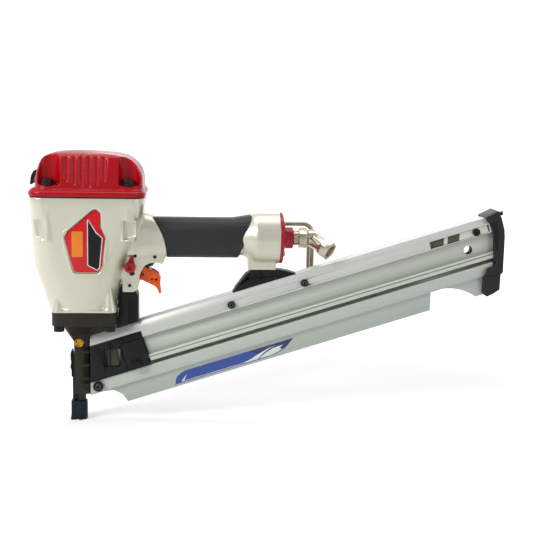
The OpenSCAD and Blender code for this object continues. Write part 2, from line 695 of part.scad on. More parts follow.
module contact_arm() {
    foot_front = nose_front_x - 0.3;
    low = mag_top_z - 32;
    over = mag_top(arm_x) + 3;
    color("#4a4d4c") {
        block(foot_front - 2.3, foot_front, 6.6, arm_y + arm_t, low, low + 9);
        block(foot_front - 2.3, 6, arm_y, arm_y + arm_t, low, low + 9);
        side_plate([[0, low], [8, low], [arm_x + 4, over - 9], [arm_x + 4, over + 8], [arm_x - 6, over + 8],
            [arm_x - 11, over - 13], [0, low + 8]], arm_y, arm_y + arm_t);
        block(arm_x - 4, arm_x + 4, -4, arm_y + EPS, arm_bar_z - 2.5, arm_bar_z);
        block(arm_x - post_half_x, arm_x + post_half_x, -post_half_y, post_half_y, arm_bar_z - 1, lever_pin_z - 2.1);
    }
}
spring_seat_z = guard_low_z - 3.5;
module contact_spring() {
    low = arm_bar_z + 0.3 + dial_h;
    color("#8f9497") translate([arm_x, 0, low]) coil(5.2, 0.7, spring_seat_z - 0.2 - low, 5);
}
module depth_dial() {
    z = arm_bar_z + 0.1;
    color("#22221f") difference() {
        union() {
            zcyl(arm_x, 0, dial_r - 0.8, z, z + dial_h);
            for (a = [0:30:330]) translate([arm_x, 0, 0]) rotate([0, 0, a])
                zcyl(dial_r - 1.2, 0, 1.2, z, z + dial_h);
        }
        zcyl(arm_x, 0, norm([post_half_x, post_half_y]) + RUN, z - 1, z + dial_h + 1);
    }
}
cover_half_w = 14;
module arm_cover() {
    lift = 0.4;
    outer = [[shaft_x - 10, guard_low_z - CLEAR], [shaft_x - 11, guard_low_z - 4], [shaft_x - 18, base_z - 2],
        [shaft_x - 18, mag_top(shaft_x - 18) + lift], [shaft_x + 9, mag_top(shaft_x + 9) + lift],
        [shaft_x + 9, guard_low_z - 5], [shaft_x + 6, guard_low_z - CLEAR]];
    color("#181817") difference() {
        side_plate(outer, -cover_half_w, cover_half_w);
        // hollow for the arm, its dial and spring
        block(arm_x - 8.6, arm_x + 8.6, -10.5, 10.5, mag_top(arm_x) - 20, guard_low_z - 3.5);
        block(arm_x - 2.6, arm_x + 2.6, -3.6, 3.6, guard_low_z - 5, guard_low_z + 1);
        block(arm_x - 20, arm_x + 6, 5, cover_half_w + 3, mag_top(arm_x) - 20, mag_top(arm_x) + 24);
        barrel_clearance();
        // shallow flutes in the near and far walls
        for (i = [0:3], side = [-1, 1])
            block(arm_x - 1 + 2.6 * i, arm_x + 0.2 + 2.6 * i, side < 0 ? -cover_half_w - 1 : cover_half_w - 0.8,
                side < 0 ? -cover_half_w + 0.8 : cover_half_w + 1, mag_top(arm_x), guard_low_z - 6);
    }
}
// room for the barrel's rear wall, a little larger than the barrel
module barrel_clearance() {
    hull() {
        slice(taper_z, deck_front_x, barrel_rear_x + 0.6, barrel_half_w, 28);
        translate([base_shift, 0, base_z - flange_t - 8]) cylinder(r = base_r + 1.5, h = flange_t + 8, $fn = 2 * HULL_FN);
    }
}

// ---- trigger ----
trigger_points = [[shaft_x - 5.5, shaft_z + 1], [shaft_x - 3.5, shaft_z + 4.3], [shaft_x + 3, shaft_z + 5],
    [shaft_x + 15.5, shaft_z - 0.6], [shaft_x + 28, shaft_z - 6.5], [shaft_x + 32.3, shaft_z - 9.8],
    [shaft_x + 34.6, shaft_z - 15], [shaft_x + 33.7, shaft_z - 22.5], [shaft_x + 35.2, shaft_z - 31.5],
    [shaft_x + 33.4, shaft_z - 32.6], [shaft_x + 32.4, shaft_z - 31.5], [shaft_x + 31, shaft_z - 27],
    [shaft_x + 27.6, shaft_z - 23.4], [shaft_x + 17.3, shaft_z - 18.5], [shaft_x + 11.5, shaft_z - 15.5],
    [shaft_x + 4, shaft_z - 10], [shaft_x - 3, shaft_z - 4.5]];
module trigger() {
    color("#f26a1b") difference() {
        side_plate(trigger_points, -trigger_half_w, trigger_half_w);
        // channel for the contact lever, open above and, near the shaft, below
        side_plate([[shaft_x - 12, shaft_z + 12], [shaft_x - 12, shaft_z - 30], [shaft_x + 20.5, shaft_z - 30],
            [shaft_x + 20.5, shaft_z - 18], [shaft_x + 27, shaft_z - 20.9], [shaft_x + 31.6, shaft_z - 20.4],
            [shaft_x + 32.1, shaft_z - 14.5], [shaft_x + 32.1, shaft_z + 12]],
            -trigger_half_w + trigger_t, trigger_half_w - trigger_t);
        ycyl(shaft_x, shaft_z, shaft_r + RUN, -trigger_half_w - 1, trigger_half_w + 1);
        ycyl(lever_pin_x, lever_pin_z, 1.5 + CLEAR / 2, -trigger_half_w - 1, trigger_half_w + 1);
        for (p = [[shaft_x + 14, shaft_z - 10], [shaft_x + 24.5, shaft_z - 15.5]])
            ycyl(p[0], p[1], 1.3, -trigger_half_w - 1, trigger_half_w + 1);
    }
}
lever_tilt_rest = atan(lever_rise / lever_len);
module contact_lever() {
    color("#9a9da0") difference() {
        translate([lever_pin_x, 0, lever_pin_z]) rotate([0, lever_tilt_rest, 0]) {
            block(-lever_len, 0, -5, 5, -0.9, 0.9);
            ycyl(0, 0, 2.2, -5, 5);
        }
        ycyl(lever_pin_x, lever_pin_z, 1.5 + RUN, -6, 6);
    }
}
module lever_pin() {
    color("#8b2f16") ycyl(lever_pin_x, lever_pin_z, 1.5, -trigger_half_w + 0.1, trigger_half_w - 0.1);
}
module mode_selector() {
    outer = -cheek_half_w - 0.3;
    color("#c3142a") difference() {
        union() {
            ycyl(shaft_x, shaft_z, shaft_r, outer - 1, cheek_half_w);
            ycyl(shaft_x, shaft_z, 6.3, outer - 4.2, outer);
            side_plate([[shaft_x - 4, shaft_z + 3], [shaft_x + 0.8, shaft_z + 12.6], [shaft_x + 3.8, shaft_z + 12.6],
                [shaft_x + 5, shaft_z + 3]], outer - 3, outer);
        }
        ycyl(shaft_x, shaft_z, 2.2, outer - 6, outer - 2);
    }
}
module guard_pins() {
    color("#3b3b39") {
        for (p = pin_spots, side = [-1, 1])
            ycyl(p[0], p[1], pin_r, side < 0 ? -cheek_half_w + 0.4 : cheek_gap + 0.2,
                side < 0 ? -cheek_gap - 0.2 : cheek_half_w - 0.4);
    }
}
module trigger_valve() {
    color("#b58b3c") difference() {
        union() {
            zcyl(valve_x, 0, valve_seat_r, valve_low, handle_z - air_bore_r - 1);
            zcyl(valve_x, 0, valve_seat_r - 2, valve_low - 2.5, valve_low + 1);
        }
        zcyl(valve_x, 0, stem_r + RUN, valve_low - 5, handle_z);
    }
}
module valve_stem() {
    color("#a0a3a6") zcyl(valve_x, 0, stem_r, stem_low_z, handle_z - air_bore_r - 4);
}

// ---- handle ----
module grip_sleeve() {
    color("#26282a") difference() {
        union() {
            bar(grip_out_front, bell_front_x - 10, handle_z, grip_h, grip_w, 17);
            hull() {
                section(bell_front_x - 26, handle_z, grip_h - 0.4, grip_w - 0.4, 16.8);
                section(bell_front_x - 2, handle_z + 2, grip_h + 4, grip_w + 4, 19);
            }
        }
        bar(grip_out_front - 8, bell_front_x + 6, handle_z, core_h + 2 * CLEAR, core_w + 2 * CLEAR, 15);
        ycyl(grip_cut_x, grip_cut_z, grip_cut_r + CLEAR, -60, 60);
        // oblique rear edge, and the cone of the bell
        translate([bell_front_x - 18.5, 0, handle_z - grip_h / 2]) rotate([0, 18.5, 0])
            translate([0, -50, -30]) cube([60, 100, 130]);
        translate([0, 0, bell_z]) rotate([0, 90, 0]) rotate_extrude()
            polygon([[0, bell_front_x - 18.5], [18.5, bell_front_x - 18.5], [bell_r - 1, bell_front_x - 1],
                [bell_r + 2, bell_front_x + 40], [0, bell_front_x + 40]]);
    }
}
screw_ring_r = bell_bore_r - 3;
module end_cap() {
    color("#b5131f") difference() {
        translate([0, 0, bell_z]) rotate([0, 90, 0]) rotate_extrude()
            polygon([[0, bell_rear_x - 6], [bell_bore_r - CLEAR, bell_rear_x - 6], [bell_bore_r - CLEAR, bell_rear_x + EPS],
                [bell_r, bell_rear_x + EPS], [bell_r, bell_rear_x + end_cap_t - 1], [bell_r - 1, bell_rear_x + end_cap_t],
                [boss_r + 3, boss_x - 1], [boss_r, boss_x], [boss_r, boss_x + boss_len - 1],
                [boss_r - 1, boss_x + boss_len], [0, boss_x + boss_len]]);
        xcyl(bell_rear_x - 8, boss_x + boss_len + 1, spigot_r + CLEAR, bell_z);
        xcyl(bell_rear_x - 7, bell_rear_x - 1, bell_bore_r - 8, bell_z);
        for (a = [45:90:315]) screw_at(a) {
            xcyl(bell_rear_x - 8, bell_rear_x + 20, 1.6, 0);
            xcyl(bell_rear_x + end_cap_t - 1, bell_rear_x + 20, 3.4, 0);
        }
    }
}
module screw_at(a) {
    translate([0, screw_ring_r * cos(a), bell_z + screw_ring_r * sin(a)]) children();
}
module end_cap_screws() {
    color("#55585a") for (a = [45:90:315]) screw_at(a) difference() {
        union() {
            xcyl(bell_rear_x + end_cap_t - 0.9, bell_rear_x + end_cap_t + 1.8, 3.1, 0);
            xcyl(bell_rear_x - 5.5, bell_rear_x + end_cap_t, 1.45, 0);
        }
        translate([bell_rear_x + end_cap_t + 0.5, 0, 0]) rotate([0, 90, 0]) cylinder(r = 1.6, h = 3, $fn = 6);
    }
}
module air_filter() {
    color("#7a7c70") difference() {
        xcyl(bell_front_x + 2, bell_rear_x - 7 - CLEAR, 14, bell_z);
        xcyl(bell_front_x + 5, bell_rear_x, 10.5, bell_z);
    }
    color("#7a7c70") difference() {
        xcyl(bell_rear_x - 9, bell_rear_x - 1 - CLEAR, bell_bore_r - 8.3, bell_z);
        xcyl(bell_rear_x - 10, bell_rear_x, 10.5, bell_z);
    }
}
module swivel_base() {
    color("#b9b4a4") difference() {
        union() {
            xcyl(swivel_x - 9, swivel_x + 1, spigot_r, bell_z);
            xcyl(swivel_x + 0.02, swivel_x + neck_len + EPS, 8.4, bell_z);
            translate([swivel_x + neck_len, 0, bell_z]) rotate([0, 90, 0]) cylinder(r = 12, h = hex_len, $fn = 6);
            xcyl(swivel_x + neck_len + hex_len - EPS, journal_x, 9.2, bell_z);
            xcyl(journal_x - 1, journal_x + journal_len, journal_r, bell_z);
        }
        xcyl(swivel_x - 10, journal_x + journal_len + 1, 3.6, bell_z);
    }
}
module along_elbow() {
    translate([elbow_x, 0, bell_z]) rotate([-swivel_turn, 0, 0]) rotate([0, 90 + elbow_angle, 0]) children();
}
module swivel_elbow() {
    color("#b3ad9c") difference() {
        union() {
            xcyl(journal_x + 0.3, elbow_x + 5, elbow_r, bell_z);
            along_elbow() translate([0, 0, 4]) cylinder(r = 9.2, h = elbow_len - 14);
            along_elbow() translate([0, 0, elbow_len - 12]) cylinder(r = 12, h = 12, $fn = 6);
        }
        xcyl(journal_x - 2, journal_x + journal_len + 0.4, journal_r + RUN, bell_z);
        along_elbow() translate([0, 0, elbow_len - inlet_depth]) cylinder(r = inlet_r, h = inlet_depth + 1);
        along_elbow() translate([0, 0, 5]) cylinder(r = 3.4, h = elbow_len - 8);
    }
}
module hook_bracket() {
    color("#8d8f8a") difference() {
        block(bell_front_x + 8, bell_rear_x - 3, bell_r - 8, hook_y + 5.5, hook_z - 6, hook_z + 6);
        xcyl(bell_front_x, bell_rear_x + 1, bell_r + CLEAR, bell_z);
        xcyl(bell_front_x + 11, bell_rear_x, hook_wire_r + RUN, hook_z, hook_y);
    }
}
module wire_bend(a) {
    rotate_extrude(angle = a) translate([hook_bend_r, 0]) circle(r = hook_wire_r);
}
module rafter_hook() {
    top_x = hook_rear_x - hook_bend_r;
    color("#8c857a") {
        xcyl(bell_front_x + 11 + CLEAR, top_x, hook_wire_r, hook_z, hook_y);
        translate([top_x, hook_y, hook_z - hook_bend_r]) rotate([90, 0, 0]) wire_bend(90);
        zcyl(hook_rear_x, hook_y, hook_wire_r, hook_low_z, hook_z - hook_bend_r);
        translate([hook_rear_x, hook_y + hook_gap / 2, hook_low_z]) rotate([90, 0, 90]) rotate([0, 0, 180])
            rotate_extrude(angle = 180) translate([hook_gap / 2, 0]) circle(r = hook_wire_r);
        zcyl(hook_rear_x, hook_y + hook_gap, hook_wire_r, hook_low_z, hook_tip_z);
        zcyl(hook_rear_x, hook_y + hook_gap, hook_wire_r, hook_tip_z, hook_tip_z + 1.6, 1.4);
    }
}

// ---- magazine ----
module rail_section() {
    inner = waist_half_w - rail_wall;
    difference() {
        union() {
            polygon([[-crown_half_w, 0], [-block_half_w, -v_shoulder], [-block_half_w, -v_block],
                [block_half_w, -v_block], [block_half_w, -v_shoulder], [crown_half_w, 0]]);
            for (b = [[waist_half_w, v_block - 1, v_ridge + 1],
                [ridge_half_w, v_ridge, v_slot], [waist_half_w, v_slot - 1, v_slot_end + 1],
                [ridge_half_w, v_slot_end, v_flange], [skirt_half_w, v_flange - 1, v_skirt]])
                translate([-b[0], -b[2]]) square([2 * b[0], b[2] - b[1]]);
        }
        // channel for the nail heads, slot for the shanks, and the hollow lower body
        translate([-head_half_w, -v_head]) square([2 * head_half_w, v_head - rail_wall]);
        translate([-nail_slot_half_w, -v_block]) square([2 * nail_slot_half_w, v_block - v_head + 1]);
        translate([-inner, -v_flange]) square([2 * inner, v_flange - v_block - 2]);
        translate([-nail_slot_half_w, -v_block - 3]) square([2 * nail_slot_half_w, 4]);
        translate([-ridge_half_w + rail_wall, -v_flange + rail_wall])
            square([2 * (ridge_half_w - rail_wall), v_flange - v_slot_end - 2 * rail_wall]);
        translate([-skirt_half_w + rail_wall, -v_skirt - 1])
            square([2 * (skirt_half_w - rail_wall), v_skirt - v_flange + 4]);
        // line on both sides of the ridge
        for (side = [-1, 1]) translate([side * ridge_half_w - 0.7, -44.9]) square([1.4, 1.2]);
    }
}
module rail_bar() {
    // extruded along the rail, from behind the nose to past the end cap
    on_rail() translate([-30, 0, 0]) rotate([90, 0, 90]) linear_extrude(rail_len + 40) rail_section();
}
leaf_x0 = mag_rear_x - 77;
leaf_x1 = mag_rear_x - 7;
stop_hole_x = mag_rear_x - 29.6;
// the extrusion with its openings, before it is divided
module magazine_profile() {
    difference() {
        intersection() {
            rail_bar();
            block(mag_front_x, mag_rear_x, -past, past, -50, above);
        }
        // opening beside the front guide, and the pusher's slot
        rail_box(-past, mag_s(window_rear_x, 30), -past, -nail_slot_half_w - 0.6, 11, v_slot_end - EPS);
        rail_box(-past, mag_s(slot_rear_x, v_slot), -past, -waist_half_w + rail_wall + 1, v_slot, v_slot_end - EPS);
        // window of the nail stop in the upper block
        rail_box(mag_s(leaf_x0, 12), mag_s(leaf_x1, 12), -past, -nail_slot_half_w - 2, 8.5, v_block - 1.4);
        // skirt cut back at the nose and, for the fingers, at the rear
        side_plate([[mag_front_x - 5, mag_at(mag_front_x - 5, v_flange + 1.4)],
            [mag_front_x + 16, mag_at(mag_front_x + 16, v_flange + 1.4)],
            [mag_front_x + 27, mag_at(mag_front_x + 27, v_flange + 3.4)],
            [mag_front_x + 37, mag_at(mag_front_x + 37, v_flange + 11)],
            [mag_front_x + 45, mag_at(mag_front_x + 45, v_skirt + 2)], [mag_front_x - 5, -60]], -past, past);
        intersection() {
            ycyl(mag_rear_x - 50, mag_at(mag_rear_x - 50, v_flange + 2.6) - 57, 57, -past, past);
            block(mag_rear_x - 72, mag_rear_x + 5, -past - 1, past + 1, -50, mag_at(mag_rear_x - 50, v_flange + 2));
        }
        ycyl(stop_hole_x, mag_at(stop_hole_x, 32), 5.2, -past, past);
        ycyl(magazine_bolt_x, magazine_bolt_z, 3 + CLEAR, -past, -5);
        for (x = bracket_bolt_x) ycyl(x, mag_at(x, 12), 2.5 + CLEAR, -past, -5);
        for (x = bracket_bolt_x) ycyl(x, mag_at(x, 12), 2.5 + CLEAR, 5, past);
        ycyl(leaf_screw_x, leaf_screw_z, 2 + CLEAR, -past, -nail_slot_half_w - 1);
    }
}
// the part of the extrusion between two levels under its top, and between two sides
module magazine_share(y0, y1, v0, v1) {
    color("#c5cac6") intersection() {
        magazine_profile();
        rail_box(-60, rail_len + 40, y0, y1, v0, v1);
    }
}
module magazine_rail() {
    magazine_share(-past, past, -5, v_block);
}
module magazine_near_wall() {
    magazine_share(-past, 0, v_block + 2 * EPS, v_skirt + 20);
}
module magazine_far_wall() {
    magazine_share(0, past, v_block + 2 * EPS, v_skirt + 20);
}
leaf_screw_x = mag_rear_x - 22.5;
leaf_screw_z = mag_at(leaf_screw_x, 13);
// the bracket and its bolts, measured from the bell's front
bracket_front = 24;
bracket_rear = 50;
bracket_half_w = 8.5;
rail_bolt_front = 25.5;
rail_bolt_rear = 59.3;
bell_bolt = 13;
bracket_bolt_x = [bell_front_x - rail_bolt_front, bell_front_x + rail_bolt_rear];
// black bracket between the bell's foot and the magazine's top
module magazine_bracket() {
    x0 = bell_front_x - bracket_front;
    x1 = bell_front_x + bracket_rear;
    color("#191a19") difference() {
        side_plate([[x0, mag_top(x0) + 0.02], [x0 + 4, mag_top(x0) + 7], [x0 + 15, bell_foot_z - 6],
            [x0 + 24, bell_foot_z - 0.02], [bell_rear_x + 2, bell_foot_z - 0.02], [x1 - 7, mag_top(x1) + 2.4],
            [x1, mag_top(x1) + 0.02]], -bracket_half_w, bracket_half_w);
        zcyl(bell_front_x + bell_bolt, 0, 3 + CLEAR, mag_top_z, bell_foot_z + 1);
        for (x = [x0 + 19, x0 + 27, x0 + 35], side = [-1, 1])
            translate([0, side * bracket_half_w, 0]) ycyl(x, bell_foot_z - 7, 1.8, -1.5, 1.5);
    }
}
module button_bolt(x, z, y, side, r_head, h_head, r_shank, depth) {
    difference() {
        union() {
            ycyl(x, z, r_head, side < 0 ? y - h_head : y + 0.02, side < 0 ? y - 0.02 : y + h_head);
            ycyl(x, z, r_shank, side < 0 ? y - 1 : y - depth, side < 0 ? y + depth : y + 1);
        }
        translate([x, side < 0 ? y - h_head - 1 : y + h_head - 1.6, z]) rotate([-90, 0, 0])
            cylinder(r = 0.45 * r_head, h = 2.6, $fn = 6);
    }
}
module bracket_bolts() {
    color("#232523") {
        for (x = bracket_bolt_x, side = [-1, 1])
            button_bolt(x, mag_at(x, 12), side * block_half_w, side, 4.4, 3, 2.5, 7);
        zcyl(bell_front_x + bell_bolt, 0, 3, mag_top(bell_front_x + bell_bolt) + 1, bell_foot_z + 11);
    }
}
module magazine_bolt() {
    color("#232523")
        button_bolt(magazine_bolt_x, magazine_bolt_z, -ridge_half_w, -1, 6, 4, 3, 6.4);
}
module front_guide() {
    y1 = -waist_half_w + 1.5;
    color("#1b1c1b") difference() {
        intersection() {
            union() {
                rail_box(-20, mag_s(window_rear_x, 30), -12.6, y1, 11.2, v_slot_end - 0.3);
                rail_box(mag_s(mag_front_x + 3, 40), mag_s(mag_front_x + 16, 40), -13.6, -12, 15, v_slot_end - 3);
            }
            block(mag_front_x + 0.3, window_rear_x - 1, -past, 0, 0, above);
        }
        // room for the pusher at rest, and the seat of the pawl
        rail_box(mag_s(push_x, 30) - 0.6, mag_s(window_rear_x, 30) + 5, -20, 0, v_block + 0.2, v_slot_end + 1);
        rail_box(pawl_s - 7.2, pawl_s + 11, -20, -10.6, 20, 41);
        pawl_pin_bore();
        block(pawl_pin_x - 6, push_x - 3, -20, 0, pawl_low_z + 4.2, pawl_high_z - 4.2);
    }
}
pawl_pin_x = 34.4;
pawl_s = mag_s(pawl_pin_x, 30);
pawl_low_z = mag_at(pawl_pin_x, 45);
pawl_high_z = mag_at(pawl_pin_x, 17);
pawl_y = -10;
module pawl_pin_bore() {
    zcyl(pawl_pin_x, pawl_y, 1.3 + CLEAR / 2, pawl_low_z - 3, pawl_high_z + 3);
}
module pawl_pin() {
    color("#2c2d2b") {
        zcyl(pawl_pin_x, pawl_y, 1.3, pawl_low_z - 2.5, pawl_high_z + 2.5);
    }
}
module feed_pawl() {
    z0 = pawl_low_z + 4.6;
    z1 = pawl_high_z - 4.6;
    color("#4f504c") difference() {
        union() {
            zcyl(pawl_pin_x, pawl_y, 2.4, z0, z1);
            side_plate([[pawl_pin_x, z0], [pawl_pin_x + 11.5, z0 + 0.6], [pawl_pin_x + 7.4, z1], [pawl_pin_x, z1]],
                pawl_y - 1.2, pawl_y + 0.8);
        }
        zcyl(pawl_pin_x, pawl_y, 1.3 + RUN, z0 - 1, z1 + 1);
    }
}
module pusher() {
    s0 = mag_s(push_x, 30);
    y_out = -block_half_w - 0.8;
    color("#202120") {
        rail_box(s0, s0 + push_len, y_out, -ridge_half_w - 0.4, v_block + 0.6, v_slot_end - 0.8);
        rail_box(s0, s0 + push_len, -ridge_half_w - 1, -waist_half_w - 0.4, v_block + 0.6, v_ridge - 0.5);
        // thumb tab, and the neck through the slot
        rail_box(s0 + 5, s0 + 17, y_out - 6, y_out + 1, v_slot - 5.5, v_slot + 1.5);
        rail_box(s0 + 2, s0 + 20, -ridge_half_w - 1, -nail_slot_half_w + 1.4, v_slot + 0.5, v_slot_end - 0.8);
        rail_box(s0 + 2, s0 + 20, -nail_slot_half_w - 1, -nail_slot_half_w + 1.4, v_slot - 8, v_slot_end - 0.8);
    }
}
module pusher_blade() {
    color("#9b9fa1") side_plate([[push_x - 10, mag_at(push_x - 10, 12)], [push_x - 10, mag_at(push_x - 10, v_flange - 4)],
        [push_x + 14, mag_at(push_x + 14, v_flange - 4)], [push_x + 14, mag_at(push_x + 14, 12)]],
        -nail_slot_half_w + 1.42, nail_slot_half_w - 0.5);
}
module pusher_spring() {
    s0 = mag_s(push_x, 30);
    color("#8f9497") on_rail() translate([s0 + 10, -nail_slot_half_w + 1.2, -v_ridge + 10]) rotate([90, 0, 0])
        difference() {
            cylinder(r = 7, h = 2.4);
            translate([0, 0, -1]) cylinder(r = 3, h = 5);
        }
}
leaf_y = -block_half_w + 0.9;
leaf_t = 1.6;
leaf_split_x = leaf_screw_x - 7;
module nail_stop_tab() {
    color("#a5a69e") difference() {
        rail_box(mag_s(leaf_split_x, 12) + 0.15, mag_s(leaf_x1 - 2, 12), leaf_y, leaf_y + leaf_t, 8.8, v_block - 1.7);
        ycyl(leaf_screw_x, leaf_screw_z, 2 + CLEAR, -30, 0);
    }
}
module nail_stop_leaf() {
    s0 = mag_s(leaf_x0 + 3, 12);
    s1 = mag_s(leaf_split_x, 12) - 0.15;
    color("#9c9d95") on_rail() translate([0, 0, -v_block + 1.7]) linear_extrude(v_block - 10.5)
        polygon([[s1, leaf_y], [s1, leaf_y + leaf_t], [s0 + 26, leaf_y + leaf_t], [s0, leaf_y + leaf_t + 2.6],
            [s0, leaf_y + leaf_t + 1.2], [s0 + 24, leaf_y]]);
}
module nail_stop_screw() {
    color("#1f201f")
        button_bolt(leaf_screw_x, leaf_screw_z, -block_half_w + 0.9, -1, 4.4, 3, 2, 7);
}
label_s0 = mag_s(110, 86);
label_len = 150;
label_h = 13;
module magazine_label() {
    // fin-shaped outline: rising nose on the left, swept tail on the right
    points = concat([[0, 0]], [for (a = [0:15:90]) [20 - 20 * cos(a) * 0.9, label_h * (0.1 + 0.9 * sin(a))]],
        [[label_len, label_h]], [for (a = [15:15:90]) [label_len - 4 - 34 * (1 - cos(a)) , label_h * (1 - sin(a))]]);
    color("#1f4fb0") on_rail() translate([label_s0, -skirt_half_w - 0.02, -v_skirt + 3]) rotate([90, 0, 0])
        linear_extrude(0.4) polygon(points);
}
end_half_w = 17;
module magazine_end_cap() {
    x = mag_rear_x;
    color("#2a2d2c") difference() {
        side_plate([[x - 13, mag_top(x - 13) + 1.5], [x + 2, mag_top(x) + 5], [x + 6, mag_top(x) - 3],
            [x + 10.3, mag_top(x) - 17], [x + 11.2, mag_top(x) - 26], [x + 11.3, mag_top(x) - 67.5],
            [x + 9.8, mag_top(x) - 69.6], [x - 9.6, mag_top(x) - 71.4], [x - 8.2, mag_top(x) - 63.4],
            [x + 2.5, mag_top(x) - 59], [x - 1, mag_top(x) - 40], [x - 3, mag_top(x) - 22],
            [x - 8, mag_top(x) - 9.5], [x - 11.5, mag_top(x) - 7.6]], -end_half_w, end_half_w);
        // seat of the rail's end, and the way in for the nails
        hull() intersection() {
            rail_box(rail_len - 100, rail_len + 40, -block_half_w - CLEAR, block_half_w + CLEAR, -CLEAR,
                v_flange + CLEAR);
            block(x - 60, x + CLEAR, -past, past, 0, above);
        }
        block(x - 2, x + 14, -5.5, 5.5, mag_top(x) - 66, mag_top(x) - 4);
    }
}
module end_cap_foot() {
    x = mag_rear_x;
    top = mag_top(x) - 72;
    color("#252827") difference() {
        side_plate([[x - 10.5, top + 0.4], [x + 9.6, top + 1.8], [x + 9.3, top - 17], [x + 2, top - 22],
            [x - 5.5, top - 25.6], [x - 11, top - 22]], -end_half_w + 3, end_half_w - 3);
        rail_bar_clearance();
        block(x - 20, x + 14, -4.6, 4.6, top - 30, top - 4);
    }
}
module rail_bar_clearance() {
    intersection() {
        union() {
            rail_box(rail_len - 120, rail_len + 60, -skirt_half_w - CLEAR, skirt_half_w + CLEAR, 60, v_skirt + 10);
            rail_box(rail_len - 120, rail_len + 60, -ridge_half_w - CLEAR, ridge_half_w + CLEAR, 30, v_flange + CLEAR);
        }
        block(mag_rear_x - 90, mag_rear_x + CLEAR, -past, past, 0, above);
    }
}

main_housing();
cap_gasket();
top_cap();
cap_bolts();
exhaust_deflector();
badge();
cylinder_sleeve();
sleeve_seal();
head_valve();
valve_return_spring();
piston_stop();
piston();
piston_ring();
driver_blade();
bumper();
nose_body();
nose_bolts();
nose_pin();
contact_foot();
contact_pad();
contact_arm();
contact_spring();
depth_dial();
arm_cover();
trigger();
contact_lever();
lever_pin();
mode_selector();
guard_pins();
trigger_valve();
valve_stem();
grip_sleeve();
end_cap();
end_cap_screws();
air_filter();
swivel_base();
swivel_elbow();
hook_bracket();
rafter_hook();
magazine_rail();
magazine_near_wall();
magazine_far_wall();
magazine_bracket();
bracket_bolts();
magazine_bolt();
front_guide();
feed_pawl();
pawl_pin();
pusher();
pusher_blade();
pusher_spring();
nail_stop_leaf();
nail_stop_tab();
nail_stop_screw();
magazine_label();
magazine_end_cap();
end_cap_foot();
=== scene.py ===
"""Looks of the strip nailer: camera, studio, finishes and pieces modelled over the frame."""
import json
import math

import bmesh
import bpy
from mathutils import Matrix, Vector

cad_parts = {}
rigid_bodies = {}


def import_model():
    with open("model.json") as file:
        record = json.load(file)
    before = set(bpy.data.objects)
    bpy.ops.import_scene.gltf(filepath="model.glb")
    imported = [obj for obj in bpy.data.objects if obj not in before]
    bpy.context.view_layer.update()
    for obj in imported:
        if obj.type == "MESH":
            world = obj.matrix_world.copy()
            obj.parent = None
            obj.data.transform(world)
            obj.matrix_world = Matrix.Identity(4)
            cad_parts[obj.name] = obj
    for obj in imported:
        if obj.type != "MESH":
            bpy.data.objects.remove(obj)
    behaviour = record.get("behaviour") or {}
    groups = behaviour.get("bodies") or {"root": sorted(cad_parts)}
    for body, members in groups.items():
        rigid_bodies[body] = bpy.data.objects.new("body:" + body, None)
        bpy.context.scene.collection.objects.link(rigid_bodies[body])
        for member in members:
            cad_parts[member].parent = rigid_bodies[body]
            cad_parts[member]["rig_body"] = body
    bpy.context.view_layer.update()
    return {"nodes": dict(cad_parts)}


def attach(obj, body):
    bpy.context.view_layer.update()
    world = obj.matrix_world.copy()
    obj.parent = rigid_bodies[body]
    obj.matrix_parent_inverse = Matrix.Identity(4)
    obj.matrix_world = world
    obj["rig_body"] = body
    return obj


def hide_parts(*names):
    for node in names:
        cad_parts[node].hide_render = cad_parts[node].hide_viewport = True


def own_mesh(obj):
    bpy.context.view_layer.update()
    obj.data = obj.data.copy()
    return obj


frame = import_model()
nodes = frame["nodes"]
MM = 0.001

# ------------ sizes, in millimetres
SIDES = (-1, 1)

# the cap: its seat, the top of its flange, its crown, and the plan of the deck under it
CAP_Z = 266.7
CAP_BODY_Z = 274.7
CAP_TOP_Z = 315.5
DECK_X = (-51.0, 76.5)
DECK_HALF_W = 47.0
FLANGE_H = 5.4
CAP_BOLT_X = (-30.0, 58.5)
CAP_BOLT_Y = 37.0
CAP_POCKET_Z = 278.7
CAP_POCKET_R = 12.5

# flutes on the cap's sides: middle, spacing, radii, and each one's start above the flange
FLUTE_MID_X = 11.6
FLUTE_PITCH = 8.1
FLUTE_R = (4.4, 4.9)
FLUTE_RISE = (8.5, 5.0, 3.0, 3.0, 5.0, 8.5)

# under the cap: radius and top of the valve's bore, of the stop's post and of the rear chamber
VALVE_BORE = (35.0, 306.4)
STOP_POST = (12.0, 308.0)
REAR_CHAMBER = (18.0, CAP_BODY_Z + 12)
REAR_CHAMBER_X = 30

# pockets in the casting's bolt columns: plan for the far side, and the slope of the floor
FRONT_POCKET = ((-46, 49), (-46, 38.4), (-38.6, 38.2), (-37.0, 43.0), (-31.4, 45.0), (-31.0, 49))
REAR_POCKET = ((72, 49), (66, 39.4), (55.0, 38.8), (53.6, 43.2), (50.6, 45.2), (50.2, 49))
POCKETS = ((FRONT_POCKET, -0.5), (REAR_POCKET, 0.35))
POCKET_HEIGHTS = (220.0, 240.6)

# trigger guard and handle; GRIP_CUT is x, z and radius of the grip's front edge
GUARD_Y = 17.2
GUARD_PINS = ((64.6, 197.7), (87.2, 196.7), (58.5, 163.2))
DETENT_X, DETENT_Z = 60.7, 177.4
HANDLE_Z = 217.7
GRIP_CUT = (32.2, 196.0, 68.7)
SWIVEL_X = 247.0
THREAD_PITCH = 1.45

# badge: back and thickness of its plate, and the face that its printed fields stand on
BADGE_Y = -42.3
BADGE_T = 1.8
BADGE_FACE_Y = -44.08
PRINT_T = 0.1

